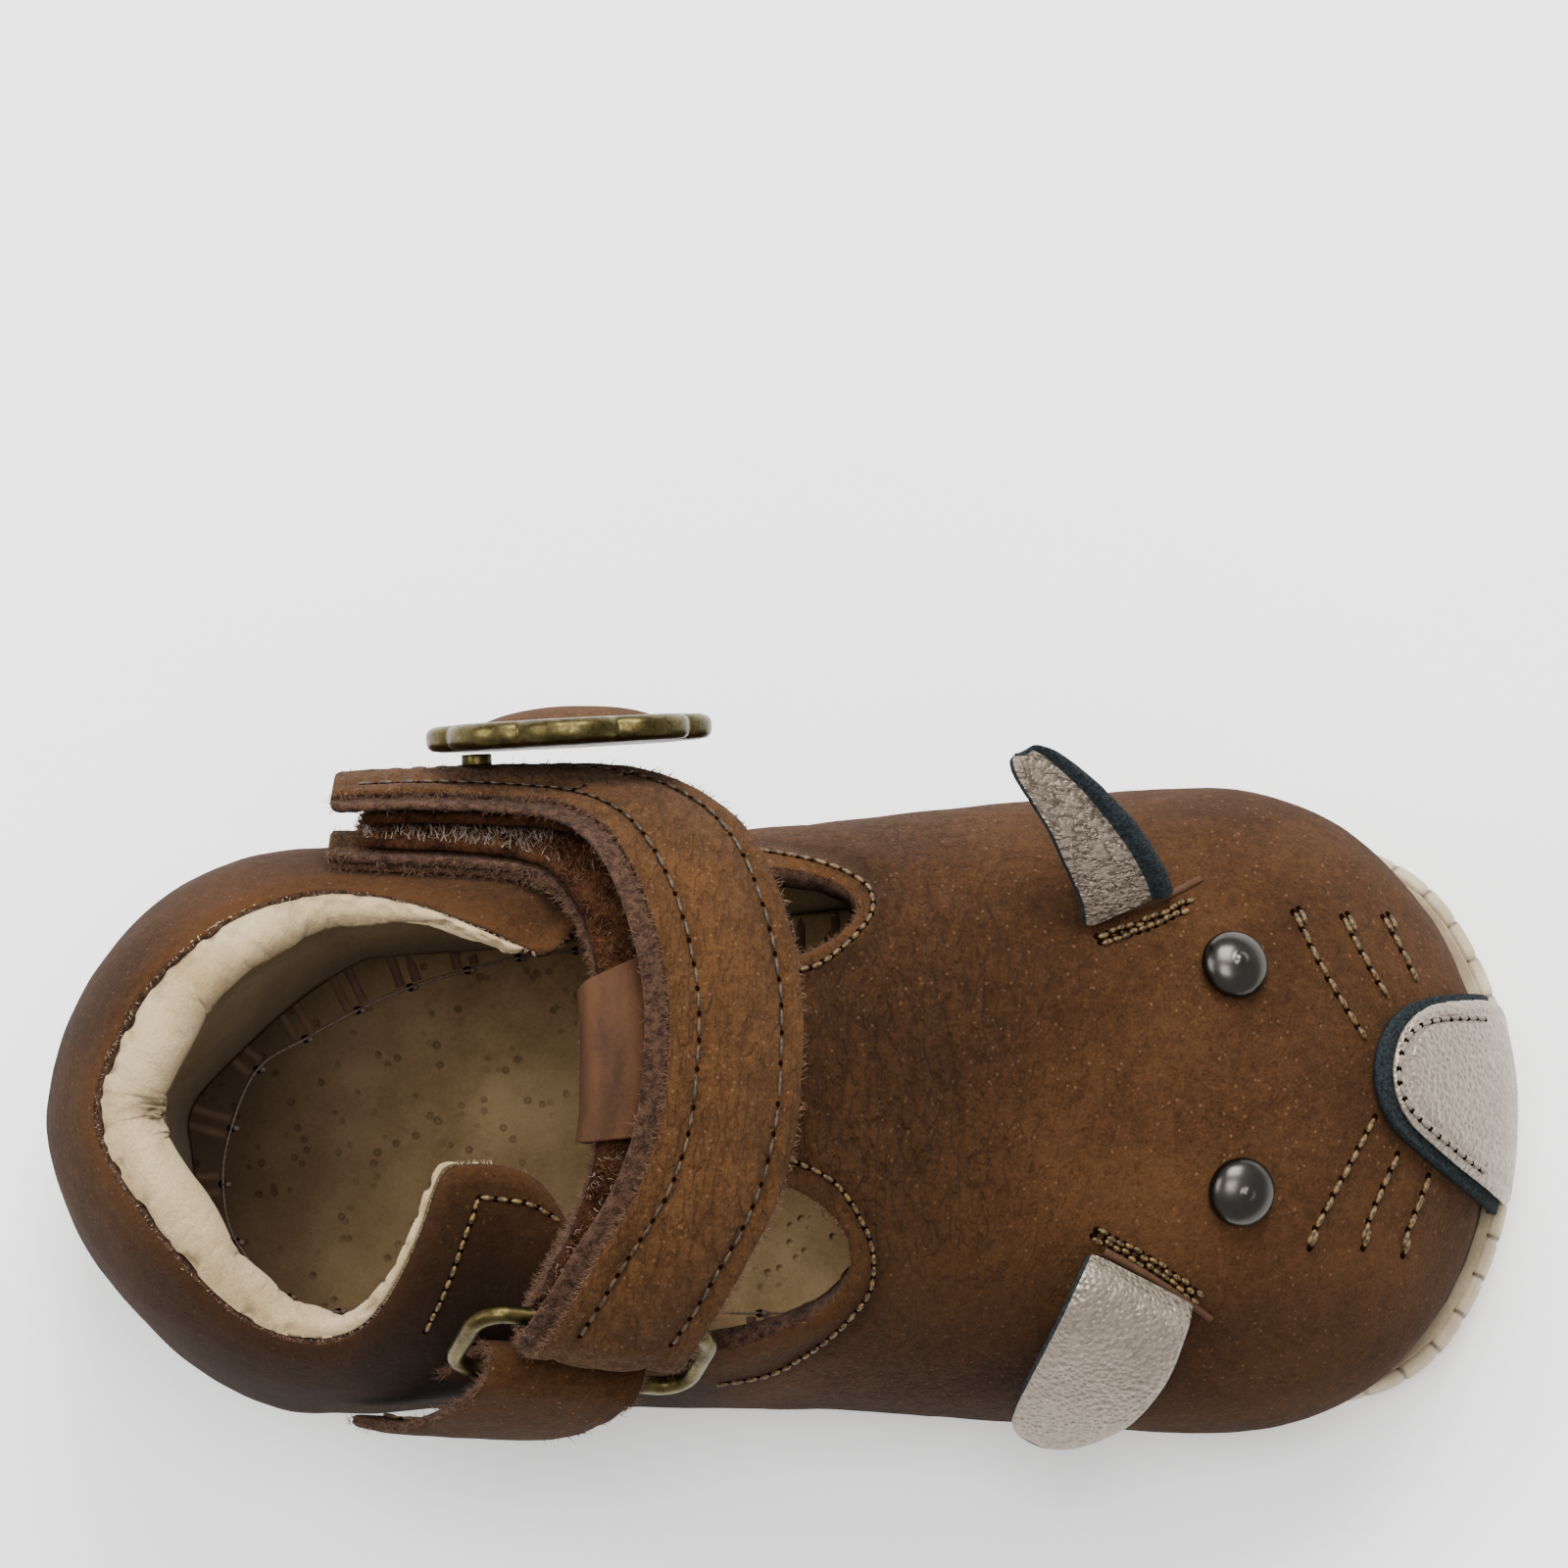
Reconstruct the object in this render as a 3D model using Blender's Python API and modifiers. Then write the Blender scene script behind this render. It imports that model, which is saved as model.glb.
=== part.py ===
# Baby T-bar shoe, left foot, standing empty on its sole.
# Units are metres. +X points to the toe, +Y to the lateral side and +Z up.
# The origin is the middle of the heel's flat rest, on the floor.

import math
from collections import namedtuple

import bmesh
import bpy
from mathutils import Matrix, Vector

# The last
LENGTH = 0.1265
BALL_WIDTH = 0.0568
HEEL_WIDTH = 0.0466
INSTEP_HEIGHT = 0.0515
HEEL_REACH = 0.0220
TOE_REACH = 0.0249

# Walls, leather and the clearance between neighbours
WALL = 0.0020
GAP = 0.0003
LAYER_GAP = 0.0005
FACE_GAP = 0.0005

# The outsole
SOLE_THICKNESS = 0.0036
SOLE_INSET = 0.0026
SOLE_EDGE_ROUND = 0.0010
TOE_SPRING = 0.0032
HEEL_LIFT = 0.0008
ARCH_LIFT = 0.0007
TOE_RIM_HEIGHT = 0.0026
TOE_RIM_WIDTH = 0.0015
TOE_RIM_PROUD = 0.0017
SIDE_RIM_HEIGHT = 0.0006
GROOVE_WIDTH = 0.0016
GROOVE_DEPTH = 0.0010
INSOLE_THICKNESS = 0.0020

# The collar's padded roll
ROLL_WIDTH = 0.0052
ROLL_HEIGHT = 0.0080

# The strap and what it carries
STRAP_WIDTH = 0.0128
STRAP_THICKNESS = 0.0017
PILE_THICKNESS = 0.0009
HOOK_THICKNESS = 0.0010
STRAP_REST = 0.0004
TAPE_MARGIN = 0.0012
LOOP_LEATHER = 0.0009
LOOP_LENGTH = 0.0145
LOOP_LEAN = 0.0035
TAB_WIDTH = 0.0136
TAB_THICKNESS = 0.0011
RING_WIRE = 0.0016
RING_LENGTH = 0.0225
RING_WIDTH = 0.0108
RING_CORNER = 0.0026

# The ornament on the strap's free end
ORNAMENT_WIDTH = 0.0245
ORNAMENT_THICKNESS = 0.0022
ORNAMENT_PETALS = 8
PETAL_DEPTH = 0.0011
INLAY_WIDTH = 0.0150
INLAY_DEPTH = 0.0009
INLAY_CROWN = 0.0012
POST_WIDTH = 0.0026
POST_LENGTH = 0.0010
ORNAMENT_AHEAD = 0.0080
ORNAMENT_TURN = 3.0
ORNAMENT_LEAN = 5.0

# The face
EYE_WIDTH = 0.0060
EYE_HEIGHT = 0.0023
EAR_WIDTH = 0.0113
EAR_LENGTH = 0.0190
EAR_THICKNESS = 0.0013
EAR_GAP = 0.0005
NOSE_THICKNESS = 0.0015

# A section of the last: along is a share of LENGTH from the heel, ball blends the heel's width into the
# ball's, lean and belt, rise are shares of BALL_WIDTH and INSTEP_HEIGHT, and square rounds the shoulder.
Section = namedtuple("Section", "along ball lean belt rise square")
SECTIONS = [
    Section(0.000, 0.00, -0.014, 0.270, 1.030, 3.0),
    Section(0.174, 0.00, -0.014, 0.270, 1.020, 3.0),
    Section(0.250, 0.08, -0.011, 0.265, 1.005, 2.95),
    Section(0.330, 0.16, -0.005, 0.260, 0.995, 2.85),
    Section(0.400, 0.24, 0.003, 0.255, 0.975, 2.75),
    Section(0.470, 0.33, 0.011, 0.250, 0.920, 2.60),
    Section(0.550, 0.47, 0.019, 0.245, 0.840, 2.45),
    Section(0.640, 0.70, 0.026, 0.240, 0.765, 2.35),
    Section(0.720, 0.88, 0.029, 0.232, 0.705, 2.30),
    Section(0.788, 1.00, 0.031, 0.222, 0.655, 2.25),
    Section(0.870, 1.00, 0.031, 0.215, 0.590, 2.25),
    Section(0.940, 1.00, 0.031, 0.208, 0.520, 2.25),
    Section(1.000, 1.00, 0.031, 0.205, 0.450, 2.25),
]
HEEL_POLE = HEEL_REACH / LENGTH
TOE_POLE = 1 - (TOE_REACH + TOE_RIM_PROUD) / LENGTH

# How square each quarter of the plan outline is at its end
HEEL_FULL = {1: 2.0, -1: 1.68}
TOE_FULL = {1: 1.92, -1: 2.12}

# The foot opening with the T-bar's two cut-outs, in plan: along is a share of LENGTH and across a share of
# the half width there, positive on the lateral side.
Edge = namedtuple("Edge", "along across")
OPENING = [
    Edge(0.341, 0.497), Edge(0.317, 0.559), Edge(0.267, 0.700), Edge(0.232, 0.771), Edge(0.188, 0.814),
    Edge(0.143, 0.759), Edge(0.105, 0.643), Edge(0.070, 0.474), Edge(0.044, 0.234), Edge(0.033, 0.064),
    Edge(0.033, -0.076), Edge(0.044, -0.226), Edge(0.066, -0.396), Edge(0.093, -0.576), Edge(0.120, -0.725),
    Edge(0.153, -0.831), Edge(0.189, -0.856), Edge(0.220, -0.786), Edge(0.241, -0.626), Edge(0.257, -0.447),
    Edge(0.265, -0.297), Edge(0.275, -0.218), Edge(0.325, -0.241), Edge(0.348, -0.373), Edge(0.362, -0.575),
    Edge(0.372, -0.836), Edge(0.396, -0.909), Edge(0.452, -0.866), Edge(0.491, -0.816), Edge(0.522, -0.739),
    Edge(0.540, -0.645), Edge(0.544, -0.545), Edge(0.538, -0.455), Edge(0.520, -0.368), Edge(0.492, -0.306),
    Edge(0.450, -0.216), Edge(0.401, -0.164), Edge(0.363, -0.150), Edge(0.361, 0.025), Edge(0.361, 0.410),
    Edge(0.396, 0.416), Edge(0.450, 0.414), Edge(0.497, 0.444), Edge(0.530, 0.511), Edge(0.546, 0.585),
    Edge(0.548, 0.655), Edge(0.538, 0.720), Edge(0.518, 0.772), Edge(0.477, 0.821), Edge(0.432, 0.856),
    Edge(0.391, 0.852), Edge(0.374, 0.784), Edge(0.362, 0.645),
]
COLLAR_FIRST, COLLAR_LAST = 1, 19

# The nose patch in plan, reaching past the toe so that it wraps down its front
NOSE = [
    Edge(0.908, 0.230), Edge(0.928, 0.305), Edge(0.958, 0.330), Edge(0.978, 0.340), Edge(1.024, 0.330),
    Edge(1.024, -0.330), Edge(0.988, -0.330), Edge(0.965, -0.270), Edge(0.933, -0.175), Edge(0.910, -0.090),
    Edge(0.900, 0.010), Edge(0.899, 0.110),
]

# Straps lie on the last: each row gives the back and the front edge as a share of LENGTH and an angle
# over the last, from 0 on the lateral side to 180 on the medial side. layer is 0 on the strap's inner run
# and 1 on its outer run, and tilt lifts the back edge by a share of STRAP_WIDTH.
Run = namedtuple("Run", "back back_angle front front_angle layer tilt")
STRAP_RUNS = [
    Run(0.189, 37, 0.189, 12, 0.0, 0.00),
    Run(0.234, 41, 0.246, 14, 0.0, 0.00),
    Run(0.287, 45, 0.327, 18, 0.0, 0.00),
    Run(0.328, 51, 0.400, 28, 0.0, 0.00),
    Run(0.357, 64, 0.446, 45, 0.0, 0.02),
    Run(0.370, 78, 0.470, 67, 0.0, 0.04),
    Run(0.371, 92, 0.475, 90, 0.0, 0.06),
    Run(0.357, 104, 0.465, 109, 0.0, 0.04),
    Run(0.338, 114, 0.446, 121, 0.0, 0.02),
    Run(0.328, 122, 0.436, 129, 0.0, 0.00),
    Run(0.323, 126.5, 0.431, 133, 0.17, 0.00),
    Run(0.321, 128, 0.429, 134.5, 0.50, 0.00),
    Run(0.325, 126, 0.433, 132.5, 0.83, 0.00),
    Run(0.334, 121.5, 0.443, 128, 1.0, 0.02),
    Run(0.360, 110.5, 0.464, 116, 1.0, 0.06),
    Run(0.389, 99, 0.489, 102, 1.0, 0.12),
    Run(0.402, 87, 0.499, 85, 1.0, 0.16),
    Run(0.396, 73, 0.488, 67, 1.0, 0.16),
    Run(0.376, 58, 0.461, 46, 1.0, 0.12),
    Run(0.346, 48, 0.420, 31, 1.0, 0.08),
    Run(0.306, 42, 0.352, 17, 1.0, 0.04),
    Run(0.254, 38, 0.272, 12, 1.0, 0.02),
    Run(0.192, 36, 0.195, 10, 1.0, 0.00),
]
INNER_RUN_ROWS = 9
HOOK_RUN_ROWS = 5
STRAP_TURN = (9, 13)
ORNAMENT_RUNS = STRAP_RUNS[-3:-1]

TAB_RUNS = [
    Run(0.262, 148, 0.372, 154, 0.0, 0.0),
    Run(0.278, 142.4, 0.390, 148.2, 0.0, 0.0),
    Run(0.291, 137.6, 0.405, 144, 0.0, 0.0),
    Run(0.297, 135.6, 0.412, 142, 0.17, 0.0),
    Run(0.299, 134.7, 0.414, 141, 0.50, 0.0),
    Run(0.296, 135.9, 0.411, 142.2, 0.83, 0.0),
    Run(0.289, 138.1, 0.403, 144.5, 1.0, 0.0),
    Run(0.266, 147, 0.380, 152, 0.95, 0.0),
    Run(0.235, 159, 0.350, 163, 0.70, 0.0),
    Run(0.202, 169, 0.322, 173, 0.25, 0.0),
]
TAB_TURN = (2, 6)

# Each ear's slot runs from rear to front in plan. A row of an ear gives its reach away from the slot, its
# two edges along the slot and its rise, as shares of the ear's own length, width and length.
EarRow = namedtuple("EarRow", "reach rear front rise")
EARS = {
    "ear_lateral": (Edge(0.708, 0.530), Edge(0.783, 0.675), [
        EarRow(0.00, -0.10, 0.66, 0.00), EarRow(0.10, -0.06, 0.66, 0.12), EarRow(0.28, -0.06, 0.60, 0.30),
        EarRow(0.50, -0.08, 0.46, 0.44), EarRow(0.68, -0.12, 0.30, 0.52), EarRow(0.76, -0.10, 0.18, 0.54),
        EarRow(0.79, -0.03, 0.10, 0.54),
    ]),
    "ear_medial": (Edge(0.712, -0.535), Edge(0.785, -0.680), [
        EarRow(0.00, -0.12, 0.78, 0.00), EarRow(0.12, -0.12, 0.82, 0.08), EarRow(0.34, -0.12, 0.84, -0.02),
        EarRow(0.58, -0.14, 0.72, -0.26), EarRow(0.74, -0.14, 0.46, -0.50), EarRow(0.79, -0.10, 0.30, -0.58),
        EarRow(0.82, -0.02, 0.18, -0.62),
    ]),
}
EYES = {"eye_lateral": Edge(0.802, 0.378), "eye_medial": Edge(0.806, -0.303)}

# Grid counts of the meshes
MID_STEPS = 26
FAN_STEPS = 12
DOME_STEPS = 10
ACROSS_STEPS = 2
RUN_STEPS = 2

COLOURS = {
    "nubuck": ((0.115, 0.050, 0.020), 0.90, 0.0),
    "lining": ((0.520, 0.440, 0.320), 0.85, 0.0),
    "insole": ((0.250, 0.165, 0.085), 0.80, 0.0),
    "rubber": ((0.400, 0.330, 0.240), 0.70, 0.0),
    "pile": ((0.110, 0.035, 0.018), 0.95, 0.0),
    "brass": ((0.200, 0.170, 0.085), 0.42, 1.0),
    "metallic": ((0.420, 0.360, 0.310), 0.40, 0.6),
    "gunmetal": ((0.160, 0.150, 0.145), 0.25, 1.0),
}


# Reads one column of the section table at a share of the length, as a smooth curve through its rows.
def section(along, column):
    rows = SECTIONS
    last = len(rows) - 1
    k = next((i for i in range(last) if along <= rows[i + 1].along), last - 1)
    a, b = rows[k], rows[k + 1]
    before, after = rows[max(k - 1, 0)], rows[min(k + 2, last)]
    span = b.along - a.along
    t = min(max((along - a.along) / span, 0.0), 1.0)
    va, vb = getattr(a, column), getattr(b, column)
    slope_a = (vb - getattr(before, column)) / (b.along - before.along) * span
    slope_b = (getattr(after, column) - va) / (after.along - a.along) * span
    return ((2 * t**3 - 3 * t**2 + 1) * va + (t**3 - 2 * t**2 + t) * slope_a
            + (3 * t**2 - 2 * t**3) * vb + (t**3 - t**2) * slope_b)


def smooth(low, high, value):
    t = min(max((value - low) / (high - low), 0.0), 1.0)
    return t * t * (3 - 2 * t)


def world_x(along):
    return along * LENGTH - HEEL_REACH


def along_of(x):
    return (x + HEEL_REACH) / LENGTH


def half_width(along):
    held = min(max(along, HEEL_POLE), TOE_POLE)
    ball = section(held, "ball")
    return 0.5 * (HEEL_WIDTH * (1 - ball) + BALL_WIDTH * ball)


def centre_y(along):
    return section(min(max(along, HEEL_POLE), TOE_POLE), "lean") * BALL_WIDTH


# Distance from the pole to the plan outline in a direction, on a superellipse quarter.
def fan_reach(direction_x, direction_y, reach, half, full):
    power = full[1 if direction_y >= 0 else -1]
    return (abs(direction_x / reach) ** power + abs(direction_y / half) ** power) ** (-1 / power)


# The floor line under the shoe: flat at heel and ball, lifted at the arch, the toe and the heel's edge.
def ground(x):
    along = along_of(x)
    spring = TOE_SPRING * max(0.0, (along - 0.86) / 0.14) ** 2
    heel = HEEL_LIFT * max(0.0, (0.05 - along) / 0.05) ** 2
    arch = ARCH_LIFT * smooth(0.34, 0.44, along) * (1 - smooth(0.50, 0.60, along))
    return spring + heel + arch


# A column of the plan: its spine point, its outline point and the outline's share of the length.
Column = namedtuple("Column", "spine rim along")


def column_at(along, side):
    spine = Vector((world_x(along), centre_y(along), 0))
    return Column(spine, spine + Vector((0, side * half_width(along), 0)), along)


def fan_column(pole, angle, reach, full):
    spine = Vector((world_x(pole), centre_y(pole), 0))
    direction = Vector((math.cos(angle), math.sin(angle), 0))
    length = fan_reach(direction.x, direction.y, reach, half_width(pole), full)
    rim = spine + direction * length
    return Column(spine, rim, along_of(rim.x))


# Columns all round the plan, from the toe's tip over the lateral side to the heel and back.
def columns(mid_steps, fan_steps):
    ring = []
    quarter = math.pi / 2
    mids = [HEEL_POLE + (TOE_POLE - HEEL_POLE) * i / mid_steps for i in range(mid_steps + 1)]
    for i in range(fan_steps):
        ring.append(fan_column(TOE_POLE, quarter * i / fan_steps, TOE_REACH, TOE_FULL))
    ring += [column_at(along, 1) for along in reversed(mids)]
    for i in range(1, 2 * fan_steps):
        ring.append(fan_column(HEEL_POLE, quarter * (1 + i / fan_steps), HEEL_REACH, HEEL_FULL))
    ring += [column_at(along, -1) for along in mids]
    for i in range(1, fan_steps):
        ring.append(fan_column(TOE_POLE, quarter * (3 + i / fan_steps), TOE_REACH, TOE_FULL))
    return ring


def plan_point(column, share=1.0, inset=0.0):
    arm = column.rim - column.spine
    return column.spine + arm * (share * (1 - inset / arm.length))


def dome_height(x, along, share):
    belt = section(along, "belt") * INSTEP_HEIGHT
    rise = section(min(along_of(x), 1.0), "rise") * INSTEP_HEIGHT
    square = section(along, "square")
    return belt + (rise - belt) * max(0.0, 1 - share ** square) ** (1 / square)


# Height of the closed last above a plan point.
def dome_over(x, y):
    along = along_of(x)
    if HEEL_POLE <= along <= TOE_POLE:
        share = abs(y - centre_y(along)) / half_width(along)
        return dome_height(x, along, min(share, 1.0))
    pole, reach, full = ((HEEL_POLE, HEEL_REACH, HEEL_FULL) if along < HEEL_POLE
                         else (TOE_POLE, TOE_REACH, TOE_FULL))
    arm = Vector((x - world_x(pole), y - centre_y(pole), 0))
    length = fan_reach(*arm.normalized().xy, reach, half_width(pole), full)
    rim_x = world_x(pole) + arm.normalized().x * length
    return dome_height(x, along_of(rim_x), min(arm.length / length, 1.0))


def edge_point(edge):
    return Vector((world_x(edge.along), centre_y(edge.along) + edge.across * half_width(edge.along), 0))


# A point on the closed last at a share of the length and an angle over it, in degrees.
def last_point(along, angle):
    turn = math.radians(min(max(angle, 0.0), 180.0))
    power = 2 / section(along, "square")
    side = 1 if angle < 90 else -1
    share = abs(math.cos(turn)) ** power
    belt = section(along, "belt") * INSTEP_HEIGHT
    rise = section(along, "rise") * INSTEP_HEIGHT
    return Vector((world_x(along), centre_y(along) + side * share * half_width(along),
                   belt + (rise - belt) * math.sin(turn) ** power))


def last_normal(along, angle):
    step, turn = 0.02, 4.0
    low, high = max(angle - turn, 1.0), min(angle + turn, 179.0)
    forward = last_point(along + step, angle) - last_point(along - step, angle)
    over = last_point(along, high) - last_point(along, low)
    return over.cross(forward).normalized()


def material(name):
    found = bpy.data.materials.get(name)
    if found:
        return found
    colour, roughness, metallic = COLOURS[name]
    made = bpy.data.materials.new(name)
    made.use_nodes = True
    shader = made.node_tree.nodes["Principled BSDF"]
    shader.inputs["Base Color"].default_value = (*colour, 1)
    shader.inputs["Roughness"].default_value = roughness
    shader.inputs["Metallic"].default_value = metallic
    made.diffuse_color = (*colour, 1)
    return made


def add_object(name, mesh, finish, collection):
    item = bpy.data.objects.new(name, mesh)
    mesh.materials.append(material(finish))
    mesh.shade_smooth()
    mesh.set_sharp_from_angle(angle=math.radians(40))
    collection.objects.link(item)
    return item


def mesh_from(work, name):
    bmesh.ops.recalc_face_normals(work, faces=work.faces)
    mesh = bpy.data.meshes.new(name)
    work.to_mesh(mesh)
    work.free()
    return mesh


# Skins a list of rings with equal counts. Closed rings join their ends, and caps fill the first and last.
def skin(rings, closed=True, caps=False, loop=False):
    work = bmesh.new()
    rows = [[work.verts.new(point) for point in ring] for ring in rings]
    count = len(rings[0])
    pairs = list(zip(rows, rows[1:])) + ([(rows[-1], rows[0])] if loop else [])
    for low, high in pairs:
        for i in range(count if closed else count - 1):
            j = (i + 1) % count
            work.faces.new((low[i], low[j], high[j], high[i]))
    if caps:
        work.faces.new(rows[0])
        work.faces.new(rows[-1])
    bmesh.ops.remove_doubles(work, verts=work.verts, dist=0.00001)
    return work


def round_corners(points, times=2):
    for _ in range(times):
        cut = []
        for a, b in zip(points, points[1:] + points[:1]):
            cut += [a.lerp(b, 0.25), a.lerp(b, 0.75)]
        points = cut
    return points


# Signed distance in plan to a closed outline, negative inside it.
def outline_distance(point, outline):
    flat = point.xy
    nearest, inside = 1.0, False
    for a, b in zip(outline, outline[1:] + outline[:1]):
        a, b = a.xy, b.xy
        side = b - a
        t = min(max((flat - a).dot(side) / side.length_squared, 0.0), 1.0)
        nearest = min(nearest, (flat - a - side * t).length)
        if (a.y > flat.y) != (b.y > flat.y):
            if flat.x < a.x + (flat.y - a.y) / (b.y - a.y) * (b.x - a.x):
                inside = not inside
    return -nearest if inside else nearest


# Cuts an open surface where a distance changes sign, and keeps the side where it is positive. A vertex
# that lies close to the cut slides onto it, so that no sliver is left.
def trim(work, distance, snap=0.22):
    values = {vert: distance(vert.co) for vert in work.verts}
    for edge in list(work.edges):
        a, b = edge.verts
        if values[a] * values[b] >= 0:
            continue
        share = values[a] / (values[a] - values[b])
        near, far, part = (a, b, share) if share < 0.5 else (b, a, 1 - share)
        if part < snap:
            near.co = near.co.lerp(far.co, part)
            values[near] = 0.0
    for edge in list(work.edges):
        a, b = edge.verts
        if values[a] * values[b] < 0:
            share = values[a] / (values[a] - values[b])
            _, made = bmesh.utils.edge_split(edge, a, share)
            values[made] = 0.0
    for face in list(work.faces):
        on_cut = [vert for vert in face.verts if values[vert] == 0.0]
        if len(on_cut) == 2 and not any(on_cut[0] in e.verts and on_cut[1] in e.verts for e in face.edges):
            if any(values[v] > 0 for v in face.verts) and any(values[v] < 0 for v in face.verts):
                bmesh.utils.face_split(face, on_cut[0], on_cut[1])
    outside = [f for f in work.faces if sum(values[v] for v in f.verts) <= 0]
    bmesh.ops.delete(work, geom=outside, context="FACES")
    loose = [v for v in work.verts if not v.link_faces]
    bmesh.ops.delete(work, geom=loose, context="VERTS")


def thicken(item, thickness, outward):
    shell = item.modifiers.new("wall", "SOLIDIFY")
    shell.thickness = thickness
    shell.offset = 1 if outward else -1
    shell.use_even_offset = True
    shell.use_quality_normals = True
    return item


def upper_foot_height(x):
    return ground(x) + SOLE_THICKNESS + GAP


# How far inside the last's plan outline the outsole's edge lies, negative where it stands proud.
def sole_inset(along):
    return SOLE_INSET - (SOLE_INSET + TOE_RIM_PROUD) * smooth(0.84, 0.95, along)


def rim_height(along):
    return SIDE_RIM_HEIGHT + (TOE_RIM_HEIGHT - SIDE_RIM_HEIGHT) * smooth(0.82, 0.94, along)


def upper_inset(along):
    return sole_inset(along) + TOE_RIM_WIDTH + GAP


# The upper's outer surface: rings from its foot on the sole, straight up behind the rim, out to the belt
# and in to the spine.
def upper_surface(mid_steps=MID_STEPS, fan_steps=FAN_STEPS, dome_steps=DOME_STEPS):
    ring = columns(mid_steps, fan_steps)
    rings = []
    for rise, out in ((0.0, 0.0), (0.0, 0.0), (0.45, 0.72)):
        row = []
        for column in ring:
            along = min(column.along, 1.0)
            point = plan_point(column, 1.0, upper_inset(along) * (1 - out))
            foot = upper_foot_height(point.x)
            start = foot + (rim_height(along) if rings else 0.0)
            belt = section(along, "belt") * INSTEP_HEIGHT
            row.append(Vector((point.x, point.y, start + (belt - start) * rise)))
        rings.append(row)
    for i in range(dome_steps + 1):
        turn = math.pi / 2 * i / dome_steps
        row = []
        for column in ring:
            share = math.cos(turn) ** (2 / section(min(column.along, 1.0), "square"))
            share = 0.0 if i == dome_steps else share
            point = plan_point(column, share)
            height = dome_height(point.x, min(column.along, 1.0), share)
            row.append(Vector((point.x, point.y, height)))
        rings.append(row)
    return skin(rings)


def make_upper(collection):
    outline = round_corners([edge_point(edge) for edge in OPENING])
    work = upper_surface()

    def distance(point):
        belt = section(min(along_of(point.x), 1.0), "belt") * INSTEP_HEIGHT
        return 1.0 if point.z < belt * 1.02 else outline_distance(point, outline)

    trim(work, distance)
    return thicken(add_object("upper", mesh_from(work, "upper"), "nubuck", collection), WALL, False)


# Rings of the outsole, from the middle of its tread round its edge and rim to the middle of its top.
def make_outsole(collection):
    ring = columns(MID_STEPS, FAN_STEPS)
    top = SOLE_THICKNESS
    round_edge = SOLE_EDGE_ROUND

    def level(share, inset, height, rim_share=0.0):
        row = []
        for column in ring:
            along = min(column.along, 1.0)
            point = plan_point(column, share, sole_inset(along) + inset if share else 0.0)
            lift = ground(point.x) + height + rim_share * rim_height(along)
            row.append(Vector((point.x, point.y, lift)))
        return row

    rings = [
        level(0.0, 0, 0), level(1.0, round_edge * 1.2, 0), level(1.0, round_edge * 0.2, round_edge),
        level(1.0, 0.0, top, 0.60), level(1.0, TOE_RIM_WIDTH * 0.45, top, 1.0),
        level(1.0, TOE_RIM_WIDTH, top, 0.85), level(1.0, TOE_RIM_WIDTH, top, 0.0),
        level(1.0, TOE_RIM_WIDTH + WALL + 3 * GAP, top), level(0.0, 0, top),
    ]
    return add_object("outsole", mesh_from(skin(rings), "outsole"), "rubber", collection)


# Flex grooves across the forefoot and one under the heel, cut into the tread.
def cut_grooves(outsole, cutters):
    for index, along in enumerate((0.12, 0.235, 0.60, 0.675, 0.80, 0.87)):
        bpy.ops.mesh.primitive_cube_add(size=1)
        cutter = bpy.context.active_object
        cutter.name = "groove_%d" % index
        cutter.scale = (GROOVE_WIDTH, BALL_WIDTH * 1.3, 2 * GROOVE_DEPTH)
        cutter.location = (world_x(along), 0, ground(world_x(along)))
        for owner in cutter.users_collection:
            owner.objects.unlink(cutter)
        cutters.objects.link(cutter)
        cutter.hide_render = True
        cutter.display_type = "WIRE"
        cut = outsole.modifiers.new("groove_%d" % index, "BOOLEAN")
        cut.operation = "DIFFERENCE"
        cut.solver = "EXACT"
        cut.object = cutter


def make_insole(collection):
    ring = columns(MID_STEPS, FAN_STEPS)
    base = SOLE_THICKNESS + GAP
    top = base + INSOLE_THICKNESS

    def level(share, inset, height):
        row = []
        for column in ring:
            side = upper_inset(min(column.along, 1.0)) + WALL + 2 * GAP + inset
            point = plan_point(column, share, side if share else 0.0)
            row.append(Vector((point.x, point.y, ground(point.x) + height)))
        return row

    rings = [level(0.0, 0, base), level(1.0, 0, base), level(1.0, 0.0003, top), level(0.0, 0, top)]
    return add_object("insole", mesh_from(skin(rings), "insole"), "insole", collection)


# The roll follows the collar inside the wall. It thins out to both quarter fronts.
def make_collar_padding(collection):
    table = OPENING[COLLAR_FIRST:COLLAR_LAST + 1]
    path = [edge_point(edge) for edge in table]
    dense = [path[0]]
    for a, b in zip(path, path[1:]):
        dense += [a.lerp(b, 0.25), a.lerp(b, 0.75)]
    path = dense + [path[-1]]
    middle = Vector((world_x(HEEL_POLE), centre_y(HEEL_POLE), 0))
    rings = []
    for i, point in enumerate(path):
        ahead, behind = path[min(i + 1, len(path) - 1)], path[max(i - 1, 0)]
        tangent = (ahead - behind).normalized()
        inward = Vector((-tangent.y, tangent.x, 0))
        inward *= 1 if inward.dot(middle - point) > 0 else -1
        height = dome_over(point.x, point.y)
        ease = math.sin(math.pi * i / (len(path) - 1)) ** 0.5
        half = 0.5 * ROLL_WIDTH * (0.40 + 0.60 * ease)
        deep = 0.5 * ROLL_HEIGHT * (0.50 + 0.50 * ease)
        centre = Vector((point.x, point.y, height - deep * 0.75)) + inward * (WALL * 0.85 + GAP + half)
        ring = []
        for k in range(8):
            turn = math.tau * k / 8
            ring.append(centre + inward * (half * math.cos(turn)) + Vector((0, 0, deep * math.sin(turn))))
        rings.append(ring)
    work = skin(rings, caps=True)
    return add_object("collar_padding", mesh_from(work, "collar_padding"), "lining", collection)


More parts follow.
